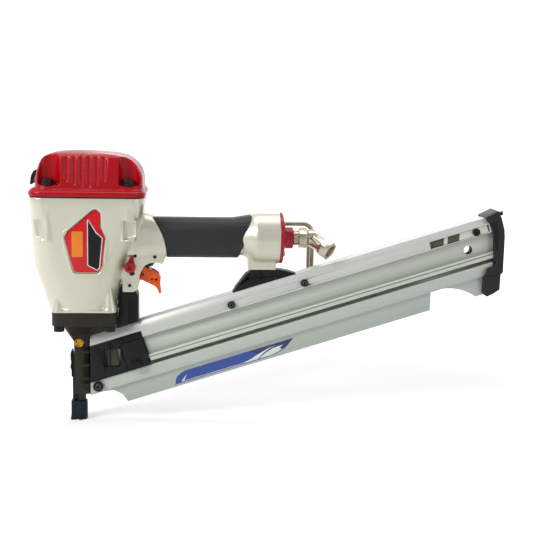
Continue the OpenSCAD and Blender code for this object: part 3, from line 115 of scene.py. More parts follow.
# magazine: front end of its top edge, half width of its skirt, bolts, pin of the pawl
MAG_ANGLE = math.radians(17.2)
MAG_FRONT = (12.0, 102.3)
SKIRT_Y = 7.5
RAIL_BOLT_X = (175.5, 260.3)
PAWL_PIN_X = 34.8
LABEL_V = 86.0
ALONG = Vector((math.cos(MAG_ANGLE), 0, math.sin(MAG_ANGLE)))
DOWN = Vector((math.sin(MAG_ANGLE), 0, -math.cos(MAG_ANGLE)))

# the photograph's view: eye and aim in metres, roll, and focal length and width in pixels
EYE = Vector((0.12576, -1.13123, 0.36934))
AIM = Vector((0.21678, 0.0, 0.1835))
ROLL = math.radians(1.1)
FOCAL_PIXELS = 980
PHOTO_PIXELS = 533

# lamps: name, place, size in metres and power in watts; all face the object's middle
MIDDLE = Vector((0.2, 0, 0.18))
LAMPS = (("key", (-1.3, -1.1, 1.3), (0.8, 0.6), 26), ("fill", (1.7, -1.2, 0.7), (1.0, 1.0), 4),
         ("top", (0.2, 0.2, 1.9), (2.0, 1.0), 14), ("rim", (0.6, 1.8, 1.0), (1.6, 0.8), 6))


def mm(x, y, z):
    """A point given in millimetres, in Blender's metres."""
    return Vector((x, y, z)) * MM


def on_rail(s, v, y):
    """A point s along the magazine's top edge and v under it, at y."""
    start = mm(MAG_FRONT[0], y, MAG_FRONT[1])
    return start + ALONG * s * MM + DOWN * v * MM


def rail_s(x, v):
    """How far along the magazine's top edge the point at x lies that is v under it."""
    return (x - MAG_FRONT[0] - v * math.sin(MAG_ANGLE)) / math.cos(MAG_ANGLE)


PUSHER_S = rail_s(50.0, 30.0)
LABEL_S = rail_s(110.0, LABEL_V)


# ------------ modelling helpers
def pick(obj):
    """Makes obj the only selected and active object."""
    bpy.ops.object.select_all(action="DESELECT")
    obj.select_set(True)
    bpy.context.view_layer.objects.active = obj
    return obj


def choose(obj, test, kind="FACE"):
    """Selects the faces or edges of the mesh being edited that pass the test."""
    bpy.ops.mesh.select_mode(type=kind)
    bpy.ops.mesh.select_all(action="DESELECT")
    mesh = bmesh.from_edit_mesh(obj.data)
    for item in {"FACE": mesh.faces, "EDGE": mesh.edges}[kind]:
        item.select_set(bool(test(item)))
    mesh.select_flush_mode()
    bmesh.update_edit_mesh(obj.data)


def edit(obj):
    """Opens the object's mesh for editing."""
    pick(obj)
    bpy.ops.object.mode_set(mode="EDIT")


def leave():
    """Ends the editing of a mesh."""
    bpy.ops.object.mode_set(mode="OBJECT")


def settle(obj):
    """Puts the object's place, turn and size into its mesh."""
    pick(obj)
    bpy.ops.object.transform_apply(location=True, rotation=True, scale=True)
    return obj


def modify(obj, kind, **settings):
    """Adds a modifier with these settings and applies it."""
    pick(obj)
    modifier = obj.modifiers.new(kind.lower(), kind)
    for key, value in settings.items():
        setattr(modifier, key, value)
    bpy.ops.object.modifier_apply(modifier=modifier.name)
    return obj


def block(name, low, high):
    """A cuboid between two corners in millimetres."""
    low, high = Vector(low) * MM, Vector(high) * MM
    bpy.ops.mesh.primitive_cube_add(size=1, location=(low + high) / 2)
    obj = bpy.context.object
    obj.name = name
    obj.scale = high - low
    return settle(obj)


def rod(name, start, end, radius, sides, end_radius=None):
    """A round bar or cone from start to end, in millimetres."""
    start, end = Vector(start) * MM, Vector(end) * MM
    along = end - start
    bpy.ops.mesh.primitive_cone_add(
        vertices=sides, radius1=radius * MM,
        radius2=(radius if end_radius is None else end_radius) * MM,
        depth=along.length, location=(start + end) / 2,
        rotation=along.to_track_quat("Z", "Y").to_euler())
    obj = bpy.context.object
    obj.name = name
    return settle(obj)


def ring(where, turn, radius, wire_radius, sides, wire_sides):
    """A wire bent to a ring that is turned from lying flat, in millimetres."""
    bpy.ops.mesh.primitive_torus_add(
        major_radius=radius * MM, minor_radius=wire_radius * MM, major_segments=sides,
        minor_segments=wire_sides, location=mm(*where), rotation=turn)
    return settle(bpy.context.object)


def upright(edge):
    """Whether an edge of the mesh being edited stands upright."""
    return abs((edge.verts[0].co - edge.verts[1].co).normalized().z) > 0.9


def round_corners(obj, radius):
    """Rounds the upright edges of the block being edited, by a radius in millimetres."""
    choose(obj, upright, "EDGE")
    bpy.ops.mesh.bevel(offset=radius * MM, segments=10, affect="EDGES", clamp_overlap=True)


def rounded_plate(name, ends, half, corner, low, high):
    """A flat plate with rounded upright corners, in millimetres."""
    obj = block(name, (ends[0], -half, low), (ends[1], half, high))
    edit(obj)
    round_corners(obj, corner)
    leave()
    return obj


def new_object(name, data):
    """A new object in the scene with this mesh, curve, lamp or camera."""
    obj = bpy.data.objects.new(name, data)
    bpy.context.scene.collection.objects.link(obj)
    return obj


def outline(name, points, depth):
    """A flat plate from an outline of points, pushed out along depth."""
    mesh = bpy.data.meshes.new(name)
    mesh.from_pydata([tuple(p) for p in points], [], [tuple(range(len(points)))])
    obj = new_object(name, mesh)
    edit(obj)
    bpy.ops.mesh.select_all(action="SELECT")
    bpy.ops.mesh.extrude_region_move(TRANSFORM_OT_translate={"value": tuple(depth)})
    bpy.ops.mesh.select_all(action="SELECT")
    bpy.ops.mesh.normals_make_consistent(inside=False)
    leave()
    return obj


def side_plate(name, points, y, thickness):
    """A plate from an outline of x and z, from y by thickness towards the badge's side."""
    return outline(name, [mm(x, y, z) for x, z in points], mm(0, -thickness, 0))


def cut(obj, tool):
    """Takes the tool's form out of the object, and removes the tool."""
    modify(obj, "BOOLEAN", operation="DIFFERENCE", solver="EXACT", object=tool)
    bpy.data.objects.remove(tool)
    return obj


def join(obj, *others):
    """Makes the others a part of the object."""
    bpy.ops.object.select_all(action="DESELECT")
    for other in (obj, *others):
        other.select_set(True)
    bpy.context.view_layer.objects.active = obj
    bpy.ops.object.join()
    return obj


def merged(name, parts):
    """The parts as one piece with this name."""
    obj = join(*parts)
    obj.name = name
    return obj


def copy_of(node, name):
    """A merged copy of a CAD node's mesh as a new piece."""
    mesh = nodes[node].data.copy()
    mesh.materials.clear()
    obj = new_object(name, mesh)
    edit(obj)
    bpy.ops.mesh.select_all(action="SELECT")
    bpy.ops.mesh.remove_doubles(threshold=0.004 * MM)
    bpy.ops.mesh.normals_make_consistent(inside=False)
    leave()
    return obj


def smooth(obj, degrees):
    """Shades faces smooth that meet at less than this angle."""
    pick(obj)
    bpy.ops.object.shade_smooth_by_angle(angle=math.radians(degrees))
    return obj


def bevelled(obj, width, segments=2, degrees=38):
    """Rounds the piece's sharp edges by width, in millimetres."""
    modify(obj, "BEVEL", width=width * MM, segments=segments, limit_method="ANGLE",
           angle_limit=math.radians(degrees), use_clamp_overlap=False)
    return smooth(obj, 50)


def cast(obj, voxel, rounds, keep):
    """Turns overlapping forms into one skin with the soft edges of a casting.

    voxel is the grid's step in millimetres, rounds how often it is smoothed, and keep the
    share of its faces that stays.
    """
    modify(obj, "REMESH", mode="VOXEL", voxel_size=voxel * MM, use_smooth_shade=True)
    modify(obj, "SMOOTH", factor=0.5, iterations=rounds)
    modify(obj, "DECIMATE", ratio=keep)
    pick(obj)
    bpy.ops.object.shade_smooth()
    return obj


def place(obj, material, body, slot, *replaced):
    """Gives a finished piece its material and its body, and hides the nodes it stands for; slot is
    not used.
    """
    obj.data.materials.clear()
    obj.data.materials.append(material)
    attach(obj, body)
    if replaced:
        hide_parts(*replaced)


# ------------ shared effects
def new_group(name, inputs, outputs):
    """A shader node group with named sockets; returns it with what goes in and what comes out."""
    tree = bpy.data.node_groups.new(name, "ShaderNodeTree")
    for sockets, side in ((inputs, "INPUT"), (outputs, "OUTPUT")):
        for label, kind in sockets.items():
            tree.interface.new_socket(name=label, in_out=side, socket_type=kind)
    return tree, tree.nodes.new("NodeGroupInput").outputs, tree.nodes.new("NodeGroupOutput").inputs


def add(tree, kind):
    """A new shader node of this kind."""
    return tree.nodes.new("ShaderNode" + kind)


def wire(tree, item, target):
    """Gives an input what item is: another node's output, or a plain value."""
    if isinstance(item, bpy.types.NodeSocket):
        tree.links.new(item, target)
    else:
        target.default_value = item


def value_math(tree, operation, a, b=None):
    """The result of an operation on one or two numbers."""
    node = add(tree, "Math")
    node.operation = operation
    for socket, item in zip(node.inputs, (a, b)):
        if item is not None:
            wire(tree, item, socket)
    return node.outputs[0]


def times(tree, a, b):
    """The product of two numbers."""
    return value_math(tree, "MULTIPLY", a, b)


def vector_math(tree, operation, a, b):
    """The node of an operation on an output and a plain vector."""
    node = add(tree, "VectorMath")
    node.operation = operation
    wire(tree, a, node.inputs[0])
    node.inputs[1].default_value = b
    return node


def parts_of(tree, vector):
    """The x, y and z of a vector."""
    node = add(tree, "SeparateXYZ")
    wire(tree, vector, node.inputs[0])
    return node.outputs


def turned_by(tree, vector, angle):
    """The vector turned about the object's y axis."""
    node = add(tree, "Mapping")
    node.inputs["Rotation"].default_value = (0, angle, 0)
    wire(tree, vector, node.inputs["Vector"])
    return node.outputs[0]


def noise(tree, vector, scale, detail, rough=0.5):
    """Smooth noise from 0 to 1."""
    node = add(tree, "TexNoise")
    node.inputs["Detail"].default_value = detail
    node.inputs["Roughness"].default_value = rough
    wire(tree, vector, node.inputs["Vector"])
    wire(tree, scale, node.inputs["Scale"])
    return node.outputs[0]


def span(tree, value, low, high, to_low=0.0, to_high=1.0):
    """Maps value from low..high to to_low..to_high, held at the ends."""
    node = add(tree, "MapRange")
    wire(tree, value, node.inputs["Value"])
    for label, item in (("From Min", low), ("From Max", high), ("To Min", to_low),
                        ("To Max", to_high)):
        wire(tree, item, node.inputs[label])
    return node.outputs[0]


def blend_colours(tree, factor, a, b, kind="MIX"):
    """Two colours mixed by a factor: a where it is 0, b (or a times b) where it is 1."""
    node = add(tree, "Mix")
    node.data_type = "RGBA"
    node.blend_type = kind
    wire(tree, factor, node.inputs["Factor"])
    for label, item in (("A", a), ("B", b)):
        socket = [s for s in node.inputs if s.name == label and s.type == "RGBA"][0]
        wire(tree, item if isinstance(item, bpy.types.NodeSocket) else (*item, 1), socket)
    return [s for s in node.outputs if s.type == "RGBA"][0]


VEC, NUM, COL = "NodeSocketVector", "NodeSocketFloat", "NodeSocketColor"


def make_grain():
    """Fine texture of a cast, moulded or painted skin: a height, and a speckle from 0 to 1."""
    tree, ins, outs = new_group(
        "skin grain", {"Vector": VEC, "Scale": NUM}, {"Height": NUM, "Speckle": NUM})
    vector, scale = ins["Vector"], ins["Scale"]
    coarse = noise(tree, vector, scale, 2.0)
    fine = noise(tree, vector, times(tree, scale, 3.7), 1.0)
    height = value_math(tree, "ADD", times(tree, coarse, 0.7), times(tree, fine, 0.3))
    wire(tree, height, outs["Height"])
    wire(tree, span(tree, fine, 0.35, 0.65), outs["Speckle"])
    return tree


def make_drift():
    """Slow change of colour over a surface, as paint, handling and dust give it."""
    tree, ins, outs = new_group(
        "colour drift", {"Vector": VEC, "Scale": NUM, "Base": COL, "Shade": COL}, {"Colour": COL})
    large = noise(tree, ins["Vector"], ins["Scale"], 4.0, 0.6)
    colour = blend_colours(tree, span(tree, large, 0.42, 0.78), ins["Base"], ins["Shade"])
    wire(tree, colour, outs["Colour"])
    return tree


def make_scuffs():
    """Sparse rubbed spots and hairline scratches, as a mask."""
    tree, ins, outs = new_group(
        "scuffs", {"Vector": VEC, "Scale": NUM, "Cover": NUM}, {"Mask": NUM})
    vector, scale = ins["Vector"], ins["Scale"]
    stretched = vector_math(tree, "MULTIPLY", vector, (1.0, 3.0, 14.0)).outputs[0]
    lines = noise(tree, stretched, scale, 3.0, 0.7)
    spots = noise(tree, vector, times(tree, scale, 0.6), 5.0, 0.7)
    edge = value_math(tree, "SUBTRACT", 0.74, times(tree, ins["Cover"], 0.25))
    mask = span(tree, value_math(tree, "MAXIMUM", lines, spots), edge,
                value_math(tree, "ADD", edge, 0.06))
    wire(tree, mask, outs["Mask"])
    return tree


def make_brushing():
    """Long fine lines along the first axis of the vector, as on a drawn or brushed profile."""
    tree, ins, outs = new_group(
        "brush lines", {"Vector": VEC, "Lines": NUM}, {"Height": NUM, "Streak": NUM})
    axes = parts_of(tree, ins["Vector"])

    def stretched(length, factor):
        """Noise drawn out along the first axis, with a share of the lines across it."""
        build = add(tree, "CombineXYZ")
        wire(tree, times(tree, axes[0], length), build.inputs[0])
        for axis in (1, 2):
            lines = times(tree, ins["Lines"], factor)
            wire(tree, times(tree, axes[axis], lines), build.inputs[axis])
        return noise(tree, build.outputs[0], 1.0, 2.0, 0.6)

    fine = stretched(6.0, 1.0)
    broad = stretched(2.0, 0.12)
    wire(tree, fine, outs["Height"])
    mixed = value_math(tree, "ADD", times(tree, fine, 0.5), times(tree, broad, 0.5))
    wire(tree, span(tree, mixed, 0.3, 0.7), outs["Streak"])
    return tree


GRAIN, DRIFT, SCUFFS, BRUSHING = make_grain(), make_drift(), make_scuffs(), make_brushing()


def use(tree, group, vector, **values):
    """Places a shared effect in a material, with its own values."""
    node = add(tree, "Group")
    node.node_tree = group
    wire(tree, vector, node.inputs["Vector"])
    for label, item in values.items():
        node.inputs[label].default_value = item
    return node


def srgb(red, green, blue):
    """A colour read from 0 to 255, as the linear values that a shader takes."""
    return tuple(((c / 255 + 0.055) / 1.055) ** 2.4 if c > 10 else c / 255 / 12.92
                 for c in (red, green, blue))


def start_material(name, metallic=0.0, coat=0.0, coat_roughness=0.1, specular=0.5):
    """A new material; returns it with its tree, its shader and the object coordinates."""
    material = bpy.data.materials.new(name)
    material.use_nodes = True
    tree = material.node_tree
    shader = tree.nodes["Principled BSDF"]
    for label, value in (("Metallic", metallic), ("Coat Weight", coat),
                         ("Coat Roughness", coat_roughness), ("Specular IOR Level", specular)):
        shader.inputs[label].default_value = value
    return material, tree, shader, add(tree, "TexCoord").outputs["Object"]


def add_bump(tree, shader, height, strength, distance):
    """Relief in the shading only; distance is in millimetres."""
    bump = add(tree, "Bump")
    bump.inputs["Strength"].default_value = strength
    bump.inputs["Distance"].default_value = distance * MM
    wire(tree, height, bump.inputs["Height"])
    wire(tree, bump.outputs[0], shader.inputs["Normal"])


def dress(tree, shader, colour, gloss, rough):
    """Sets the colour, and a roughness that runs between two values as gloss does from 0 to 1."""
    wire(tree, colour, shader.inputs["Base Color"])
    wire(tree, span(tree, gloss, 0.0, 1.0, *rough), shader.inputs["Roughness"])


def cover_skin(tree, shader, where, colours, rough, grain, drift, scuffs, cover):
    """Dresses a skin in colour drift and light scuffs; returns the height of its grain."""
    base, shade, worn = (srgb(*colour) for colour in colours)
    skin = use(tree, GRAIN, where, Scale=grain)
    tone = use(tree, DRIFT, where, Scale=drift, Base=(*base, 1), Shade=(*shade, 1))
    rubbed = use(tree, SCUFFS, where, Scale=scuffs, Cover=cover)
    colour = blend_colours(tree, rubbed.outputs["Mask"], tone.outputs["Colour"], worn)
    dress(tree, shader, colour, skin.outputs["Speckle"], rough)
    return skin.outputs["Height"]


def finish(name, base, shade, worn, rough, metallic=0.0, coat=0.0, coat_roughness=0.08,
           specular=0.5, grain=900.0, depth=0.03, strength=0.4, cover=0.1, drift=25.0):
    """A skin with grain, colour drift and light scuffs.

    base, shade and worn are its colours from 0 to 255, and rough is its roughness at smooth
    and at rough spots. grain and drift are texture scales, depth and strength are the grain's
    relief, and cover says how much of the skin is rubbed.
    """
    material, tree, shader, where = start_material(name, metallic, coat, coat_roughness, specular)
    height = cover_skin(tree, shader, where, (base, shade, worn), rough, grain, drift, 60.0, cover)
    add_bump(tree, shader, height, strength, depth)
    return material


def ink(name, base, shade, worn, rough, cover, **looks):
    """A smooth printed colour."""
    return finish(name, base, shade, worn, rough, depth=0.01, strength=0.1, cover=cover, **looks)


def brushed(name, base, shade, rough, lines):
    """Turned metal whose long lines run up the part. lines is how close they lie."""
    base, shade = srgb(*base), srgb(*shade)
    material, tree, shader, where = start_material(name, metallic=1.0)
    turned = turned_by(tree, where, math.radians(90))
    streaks = use(tree, BRUSHING, turned, Lines=lines)
    tone = blend_colours(tree, streaks.outputs["Streak"], shade, base)
    rubbed = use(tree, SCUFFS, turned, Scale=45.0, Cover=0.05)
    colour = blend_colours(tree, rubbed.outputs["Mask"], tone, shade)
    dress(tree, shader, colour, streaks.outputs["Streak"], rough)
    add_bump(tree, shader, streaks.outputs["Height"], 0.35, 0.02)
    return material


# ------------ finishes
def champagne_paint():
    """Metallic champagne-silver paint: bright flakes in a satin coat over a casting."""
    base, shade, flake, worn = (srgb(*colour) for colour in (
        (218, 215, 194), (206, 203, 180), (232, 230, 216), (180, 177, 160)))
    material, tree, shader, where = start_material("champagne_paint", 0.6, 0.3, 0.15)
    flakes = add(tree, "TexVoronoi")
    flakes.inputs["Scale"].default_value = 2600.0
    wire(tree, where, flakes.inputs["Vector"])
    distance = flakes.outputs["Distance"]
    skin = use(tree, GRAIN, where, Scale=420.0)
    tone = use(tree, DRIFT, where, Scale=14.0, Base=(*base, 1), Shade=(*shade, 1))
    sparkle = span(tree, distance, 0.0, 0.5, 0.0, 0.35)
    colour = blend_colours(tree, sparkle, tone.outputs["Colour"], flake)
    rubbed = use(tree, SCUFFS, where, Scale=40.0, Cover=0.0)
    colour = blend_colours(tree, rubbed.outputs["Mask"], colour, worn)
    wire(tree, colour, shader.inputs["Base Color"])
    wire(tree, span(tree, distance, 0.0, 0.6, 0.24, 0.36), shader.inputs["Roughness"])
    add_bump(tree, shader, skin.outputs["Height"], 0.25, 0.05)
    return material


CHAMPAGNE = champagne_paint()
CRIMSON = finish(
    "crimson_gloss", (186, 0, 24), (166, 0, 18), (190, 36, 46), (0.26, 0.34), coat=0.25,
    specular=0.2, grain=260.0, depth=0.05, strength=0.12, cover=0.0, drift=12.0)
CRIMSON_RING = finish(
    "crimson_end", (192, 8, 32), (168, 4, 24), (205, 64, 72), (0.3, 0.4), coat=0.35,
    coat_roughness=0.1, specular=0.3, grain=500.0, depth=0.04, strength=0.15, cover=0.02)
BLACK_CAST = finish(
    "olive_black_casting", (44, 42, 32), (30, 29, 23), (84, 80, 64), (0.38, 0.58), metallic=0.45,
    grain=520.0, depth=0.12, strength=0.45, cover=0.28, drift=40.0)
BLUED = finish(
    "blued_steel", (26, 40, 47), (17, 27, 33), (84, 96, 102), (0.28, 0.42), metallic=0.7,
    grain=800.0, depth=0.04, strength=0.3, cover=0.22, drift=60.0)
BLACK_PLASTIC = finish(
    "black_plastic", (15, 16, 15), (11, 12, 11), (44, 44, 42), (0.36, 0.5), specular=0.3,
    grain=1100.0, depth=0.04, strength=0.45, cover=0.06)
CHARCOAL_PLASTIC = finish(
    "charcoal_plastic", (37, 41, 39), (29, 32, 31), (72, 75, 73), (0.4, 0.55), specular=0.3,
    grain=1300.0, depth=0.04, strength=0.5, cover=0.08)
GUIDE_BLACK = finish(
    "guide_black", (17, 18, 17), (12, 13, 12), (52, 53, 50), (0.34, 0.5), specular=0.3,
    depth=0.04, cover=0.14)
GASKET = finish("gasket_rubber", (24, 24, 24), (16, 16, 16), (50, 50, 50), (0.6, 0.75), grain=700.0)
RUBBER = finish("seal_rubber", (22, 22, 22), (14, 14, 14), (40, 40, 40), (0.5, 0.65), grain=1200.0)
URETHANE = finish(
    "bumper_urethane", (60, 58, 50), (44, 42, 38), (80, 78, 70), (0.4, 0.5), grain=600.0)
ORANGE = finish(
    "trigger_orange", (250, 98, 18), (240, 86, 12), (214, 112, 58), (0.3, 0.4), coat=0.3,
    coat_roughness=0.12, specular=0.3, grain=700.0, strength=0.25, cover=0.04)
BRASS = finish(
    "worn_brass", (206, 150, 62), (176, 120, 44), (232, 196, 122), (0.2, 0.36), metallic=1.0,
    strength=0.3, cover=0.3)
NICKEL = finish(
    "nickel_plate", (196, 188, 170), (168, 158, 138), (214, 208, 196), (0.16, 0.28), metallic=1.0,
    grain=500.0, strength=0.2, cover=0.12, drift=60.0)
HOOK_STEEL = finish(
    "hook_steel", (172, 160, 142), (138, 126, 108), (196, 186, 170), (0.2, 0.32), metallic=1.0,
    grain=600.0, strength=0.25, cover=0.15, drift=50.0)
BLACK_OXIDE = finish(
    "black_oxide", (30, 32, 31), (20, 22, 21), (84, 86, 82), (0.26, 0.4), metallic=0.6,
    grain=1300.0, depth=0.02, strength=0.3, cover=0.2)
ZINC = finish(
    "zinc_screws", (128, 130, 132), (100, 102, 104), (170, 172, 172), (0.25, 0.4), metallic=1.0,
    grain=1200.0, depth=0.02, strength=0.3, cover=0.15)
STAMPED = finish(
    "stamped_steel", (150, 150, 142), (122, 122, 114), (188, 188, 182), (0.3, 0.46), metallic=0.9,
    strength=0.35, cover=0.2)
DARK_SHEET = finish(
    "dark_sheet", (62, 68, 70), (46, 52, 54), (120, 124, 124), (0.3, 0.44), metallic=0.8,
    grain=800.0, strength=0.3, cover=0.2)
SPRING_WIRE = finish(
    "spring_wire", (168, 170, 172), (140, 142, 144), (196, 198, 198), (0.2, 0.32), metallic=1.0,
    grain=1500.0, depth=0.01, strength=0.2)
FILTER_FOAM = finish(
    "filter_foam", (134, 136, 120), (96, 98, 84), (160, 160, 146), (0.8, 0.95), grain=700.0,
    depth=0.6, strength=1.0)
ACETAL = finish("acetal", (226, 222, 208), (208, 204, 190), (232, 230, 222), (0.3, 0.42))
MACHINED = brushed("machined_alloy", (196, 198, 200), (166, 168, 170), (0.2, 0.34), 1600.0)
ANODISED = brushed("sleeve_anodised", (168, 172, 176), (136, 140, 144), (0.26, 0.4), 1400.0)
BADGE_RED = ink(
    "badge_red", (222, 10, 30), (206, 6, 24), (230, 70, 80), (0.26, 0.34), 0.0, coat=0.4,
    specular=0.3)
BADGE_BLACK = ink(
    "badge_black", (14, 14, 17), (10, 10, 12), (40, 40, 44), (0.34, 0.42), 0.03, coat=0.1,
    specular=0.25)
BADGE_ORANGE = ink(
    "badge_orange", (250, 142, 10), (242, 126, 6), (250, 170, 70), (0.3, 0.36), 0.0, coat=0.25)
PRINT_WHITE = ink(
    "print_white", (244, 244, 242), (232, 232, 230), (214, 214, 212), (0.3, 0.38), 0.0, coat=0.5)
LABEL_NAVY = ink(
    "label_navy", (30, 44, 104), (24, 34, 84), (70, 82, 134), (0.26, 0.32), 0.02, coat=0.7)
LABEL_BLUE = ink(
    "label_blue", (24, 74, 168), (20, 58, 142), (70, 110, 190), (0.26, 0.32), 0.02, coat=0.7)
PAWL_STEEL = finish(
    "pawl_steel", (74, 74, 66), (56, 56, 50), (120, 120, 112), (0.36, 0.5), metallic=0.6,
    strength=0.35, cover=0.15)


def ramp(tree, value, stops, kind="LINEAR"):
    """A colour read from a row of (position, colour) stops."""
    node = add(tree, "ValToRGB")
    node.color_ramp.interpolation = kind
    row = node.color_ramp.elements
    while len(row) < len(stops):
        row.new(0.5)
    for element, (position, colour) in zip(row, stops):
        element.position = position
        element.color = (*colour, 1)
    wire(tree, value, node.inputs[0])
    return node.outputs[0]


def measured(tree, where, start, direction, reach):
    """How far a point lies from start along direction, as a share of reach in millimetres."""
    offset = vector_math(tree, "SUBTRACT", where, start).outputs[0]
    along = vector_math(tree, "DOT_PRODUCT", offset, direction).outputs["Value"]
    return value_math(tree, "DIVIDE", along, reach * MM)


# painted light and shade of the magazine's section: dark lines in its creases, a dark groove, a
# waist shaded darker downwards and bright ridges; depth under its top edge in millimetres, and
# colour
SECTION_H = 90.0
SECTION_LIGHT_AND_SHADE = (
    (0.0, (226, 230, 226)), (7.0, (222, 226, 221)), (8.0, (228, 232, 226)),
    (18.2, (222, 227, 219)), (18.7, (140, 146, 134)), (19.3, (140, 146, 134)),
    (19.8, (206, 212, 203)), (29.0, (216, 222, 212)), (36.0, (196, 203, 191)),
    (41.0, (158, 165, 150)), (41.6, (236, 242, 234)), (43.6, (228, 234, 224)),
    (44.0, (140, 148, 132)), (44.7, (140, 148, 132)), (45.1, (232, 238, 228)),
    (48.8, (218, 225, 213)), (49.2, (78, 82, 60)), (53.2, (88, 92, 70)), (53.8, (214, 221, 213)),
    (67.1, (208, 215, 207)), (67.4, (160, 167, 158)), (67.9, (160, 167, 158)),
    (68.2, (204, 211, 203)), (89.0, (198, 206, 197)))


def drawn_aluminium():
    """The extruded magazine: each face of its section is painted with its light and shade, and it
    is painted darker and greener towards the nose as shade.
    """
    material, tree, shader, where = start_material("drawn_aluminium", metallic=0.22)
    turned = turned_by(tree, where, MAG_ANGLE)
    streaks = use(tree, BRUSHING, turned, Lines=1300.0)
    rubbed = use(tree, SCUFFS, turned, Scale=45.0, Cover=0.05)
    front = mm(MAG_FRONT[0], 0, MAG_FRONT[1])
    # painted shade in the creases, the groove and the waist, and painted highlights on the ridges,
    # by depth under the top edge
    tone = ramp(tree, measured(tree, where, front, DOWN, SECTION_H),
                [(depth / SECTION_H, srgb(*colour)) for depth, colour in SECTION_LIGHT_AND_SHADE])
    # painted shade: darker and greener towards the nose
    along = ramp(tree, measured(tree, where, front, ALONG, 500.0),
                 ((0.0, (0.94, 0.96, 0.93)), (0.45, (0.98, 0.99, 0.97)), (1.0, (1.0, 1.0, 0.99))))
    grade = ramp(tree, streaks.outputs["Streak"],
                 ((0.0, (0.88, 0.88, 0.88)), (1.0, (1.0, 1.0, 1.0))))
    for layer in (along, grade):
        tone = blend_colours(tree, 1.0, tone, layer, "MULTIPLY")
    colour = blend_colours(tree, rubbed.outputs["Mask"], tone, srgb(170, 176, 168))
    dress(tree, shader, colour, streaks.outputs["Streak"], (0.32, 0.44))
    add_bump(tree, shader, streaks.outputs["Height"], 0.35, 0.02)
    return material


def stop_sheet():
    """Bright sheet whose front part is painted dark as shade, but for one bright strip."""
    material, tree, shader, where = start_material("stop_sheet", metallic=0.75)
    skin = use(tree, GRAIN, where, Scale=900.0)
    along = measured(tree, where, mm(400, 0, 0), Vector((1, 0, 0)), 80.0)
    dark, bright = srgb(92, 91, 78), srgb(226, 226, 214)
    # painted shade over the front part of the sheet, which lies in shadow, but for one bright strip
    colour = ramp(tree, along, ((0.0, dark), (0.3, bright), (0.355, dark), (0.525, bright)),
                  "CONSTANT")
    dress(tree, shader, colour, skin.outputs["Speckle"], (0.32, 0.46))
    add_bump(tree, shader, skin.outputs["Height"], 0.4, 0.04)
    return material


ALUMINIUM = drawn_aluminium()
STOP_SHEET = stop_sheet()


def grip_rubber():
    """Charcoal rubber with a fine pebble, and two moulded lines that follow the hand."""
    material, tree, shader, where = start_material("grip_rubber", specular=0.35)
    grain = cover_skin(tree, shader, where, ((40, 43, 42), (32, 35, 35), (66, 68, 68)),
                       (0.42, 0.56), 1500.0, 22.0, 50.0, 0.02)
    axes = parts_of(tree, where)

    def arc_line(x, z, radius, half_width):
        """0 on a circle about x and z, and 1 from half a line's width beside it."""
        squares = []
        for axis, middle in ((0, x), (2, z)):
            away = value_math(tree, "SUBTRACT", axes[axis], middle * MM)
            squares.append(times(tree, away, away))
        reach = value_math(tree, "SQRT", value_math(tree, "ADD", *squares))
        off = value_math(tree, "ABSOLUTE", value_math(tree, "SUBTRACT", reach, radius * MM))
        return span(tree, off, 0.0, half_width * MM)

    front = arc_line(GRIP_CUT[0], GRIP_CUT[1], GRIP_CUT[2] + 7.0, 0.8)
    palm = arc_line(152.0, 140.0, 76.0, 0.7)
    height = value_math(tree, "ADD", times(tree, front, palm), times(tree, grain, 0.25))
    add_bump(tree, shader, height, 0.6, 0.35)
    return material


GRIP = grip_rubber()


# ------------ head casting
def pocket_cutter(plan, low, high, tilt):
    """A prism over a plan outline whose lower end rises by tilt for each millimetre along x."""
    obj = outline("pocket_cutter", [mm(x, y, low) for x, y in plan], mm(0, 0, high - low))
    edit(obj)
    mesh = bmesh.from_edit_mesh(obj.data)
    middle = sum(point[0] for point in plan) / len(plan)
    for point in mesh.verts:
        if point.co.z < (low + 1) * MM:
            point.co.z += (point.co.x / MM - middle) * tilt * MM
    bmesh.update_edit_mesh(obj.data)
    leave()
    return obj


def housing():
    """The cast body with its handle: one skin, with pockets in the bolt columns."""
    obj = copy_of("main_housing", "housing_casting")
    low, high = POCKET_HEIGHTS
    for side in SIDES:
        for plan, tilt in POCKETS:
            cut(obj, pocket_cutter([(x, side * y) for x, y in plan], low, high, tilt))
    return cast(obj, voxel=0.9, rounds=4, keep=0.72)


def fillet(corners, radius, steps=7):
    """The outline with every corner drawn as a curve of about this radius."""
    points = []
    for i, corner in enumerate(corners):
        here = Vector(corner)
        before = Vector(corners[i - 1]) - here
        after = Vector(corners[(i + 1) % len(corners)]) - here
        reach = min(radius / math.tan(before.angle(after) / 2),
                    0.46 * before.length, 0.46 * after.length)
        start, end = here + before.normalized() * reach, here + after.normalized() * reach
        for k in range(steps + 1):
            t = k / steps
            points.append(tuple((1 - t) ** 2 * start + 2 * t * (1 - t) * here + t * t * end))
    return points


def parallel(points, grow):
    """The outline, which runs anticlockwise, moved outwards by grow."""
    moved = []
    for i, point in enumerate(points):
        here = Vector(point)
        first = (here - Vector(points[i - 1])).normalized()
        second = (Vector(points[(i + 1) % len(points)]) - here).normalized()
        out = Vector((first.y + second.y, -first.x - second.x)).normalized()
        moved.append(tuple(here + out * grow / max(0.6, out.dot(Vector((first.y, -first.x))))))
    return moved


BADGE = fillet([(x + 10.8, z + 182.6) for x, z in (
    (-12, 0), (15, 0), (19, 8), (22, 39), (16.4, 50.5), (16.8, 69.5), (9.5, 69.5), (-21.6, 43),
    (-20.6, 35))], 6.0)


def badge_rim():
    """The raised lip of the casting that runs round the badge."""
    obj = side_plate("badge_rim", parallel(BADGE, 4.0), -42.0, 3.6)
    cut(obj, side_plate("rim_cutter", parallel(BADGE, 1.3), -41.0, 6.0))
    return bevelled(obj, 0.85, segments=4, degrees=40)


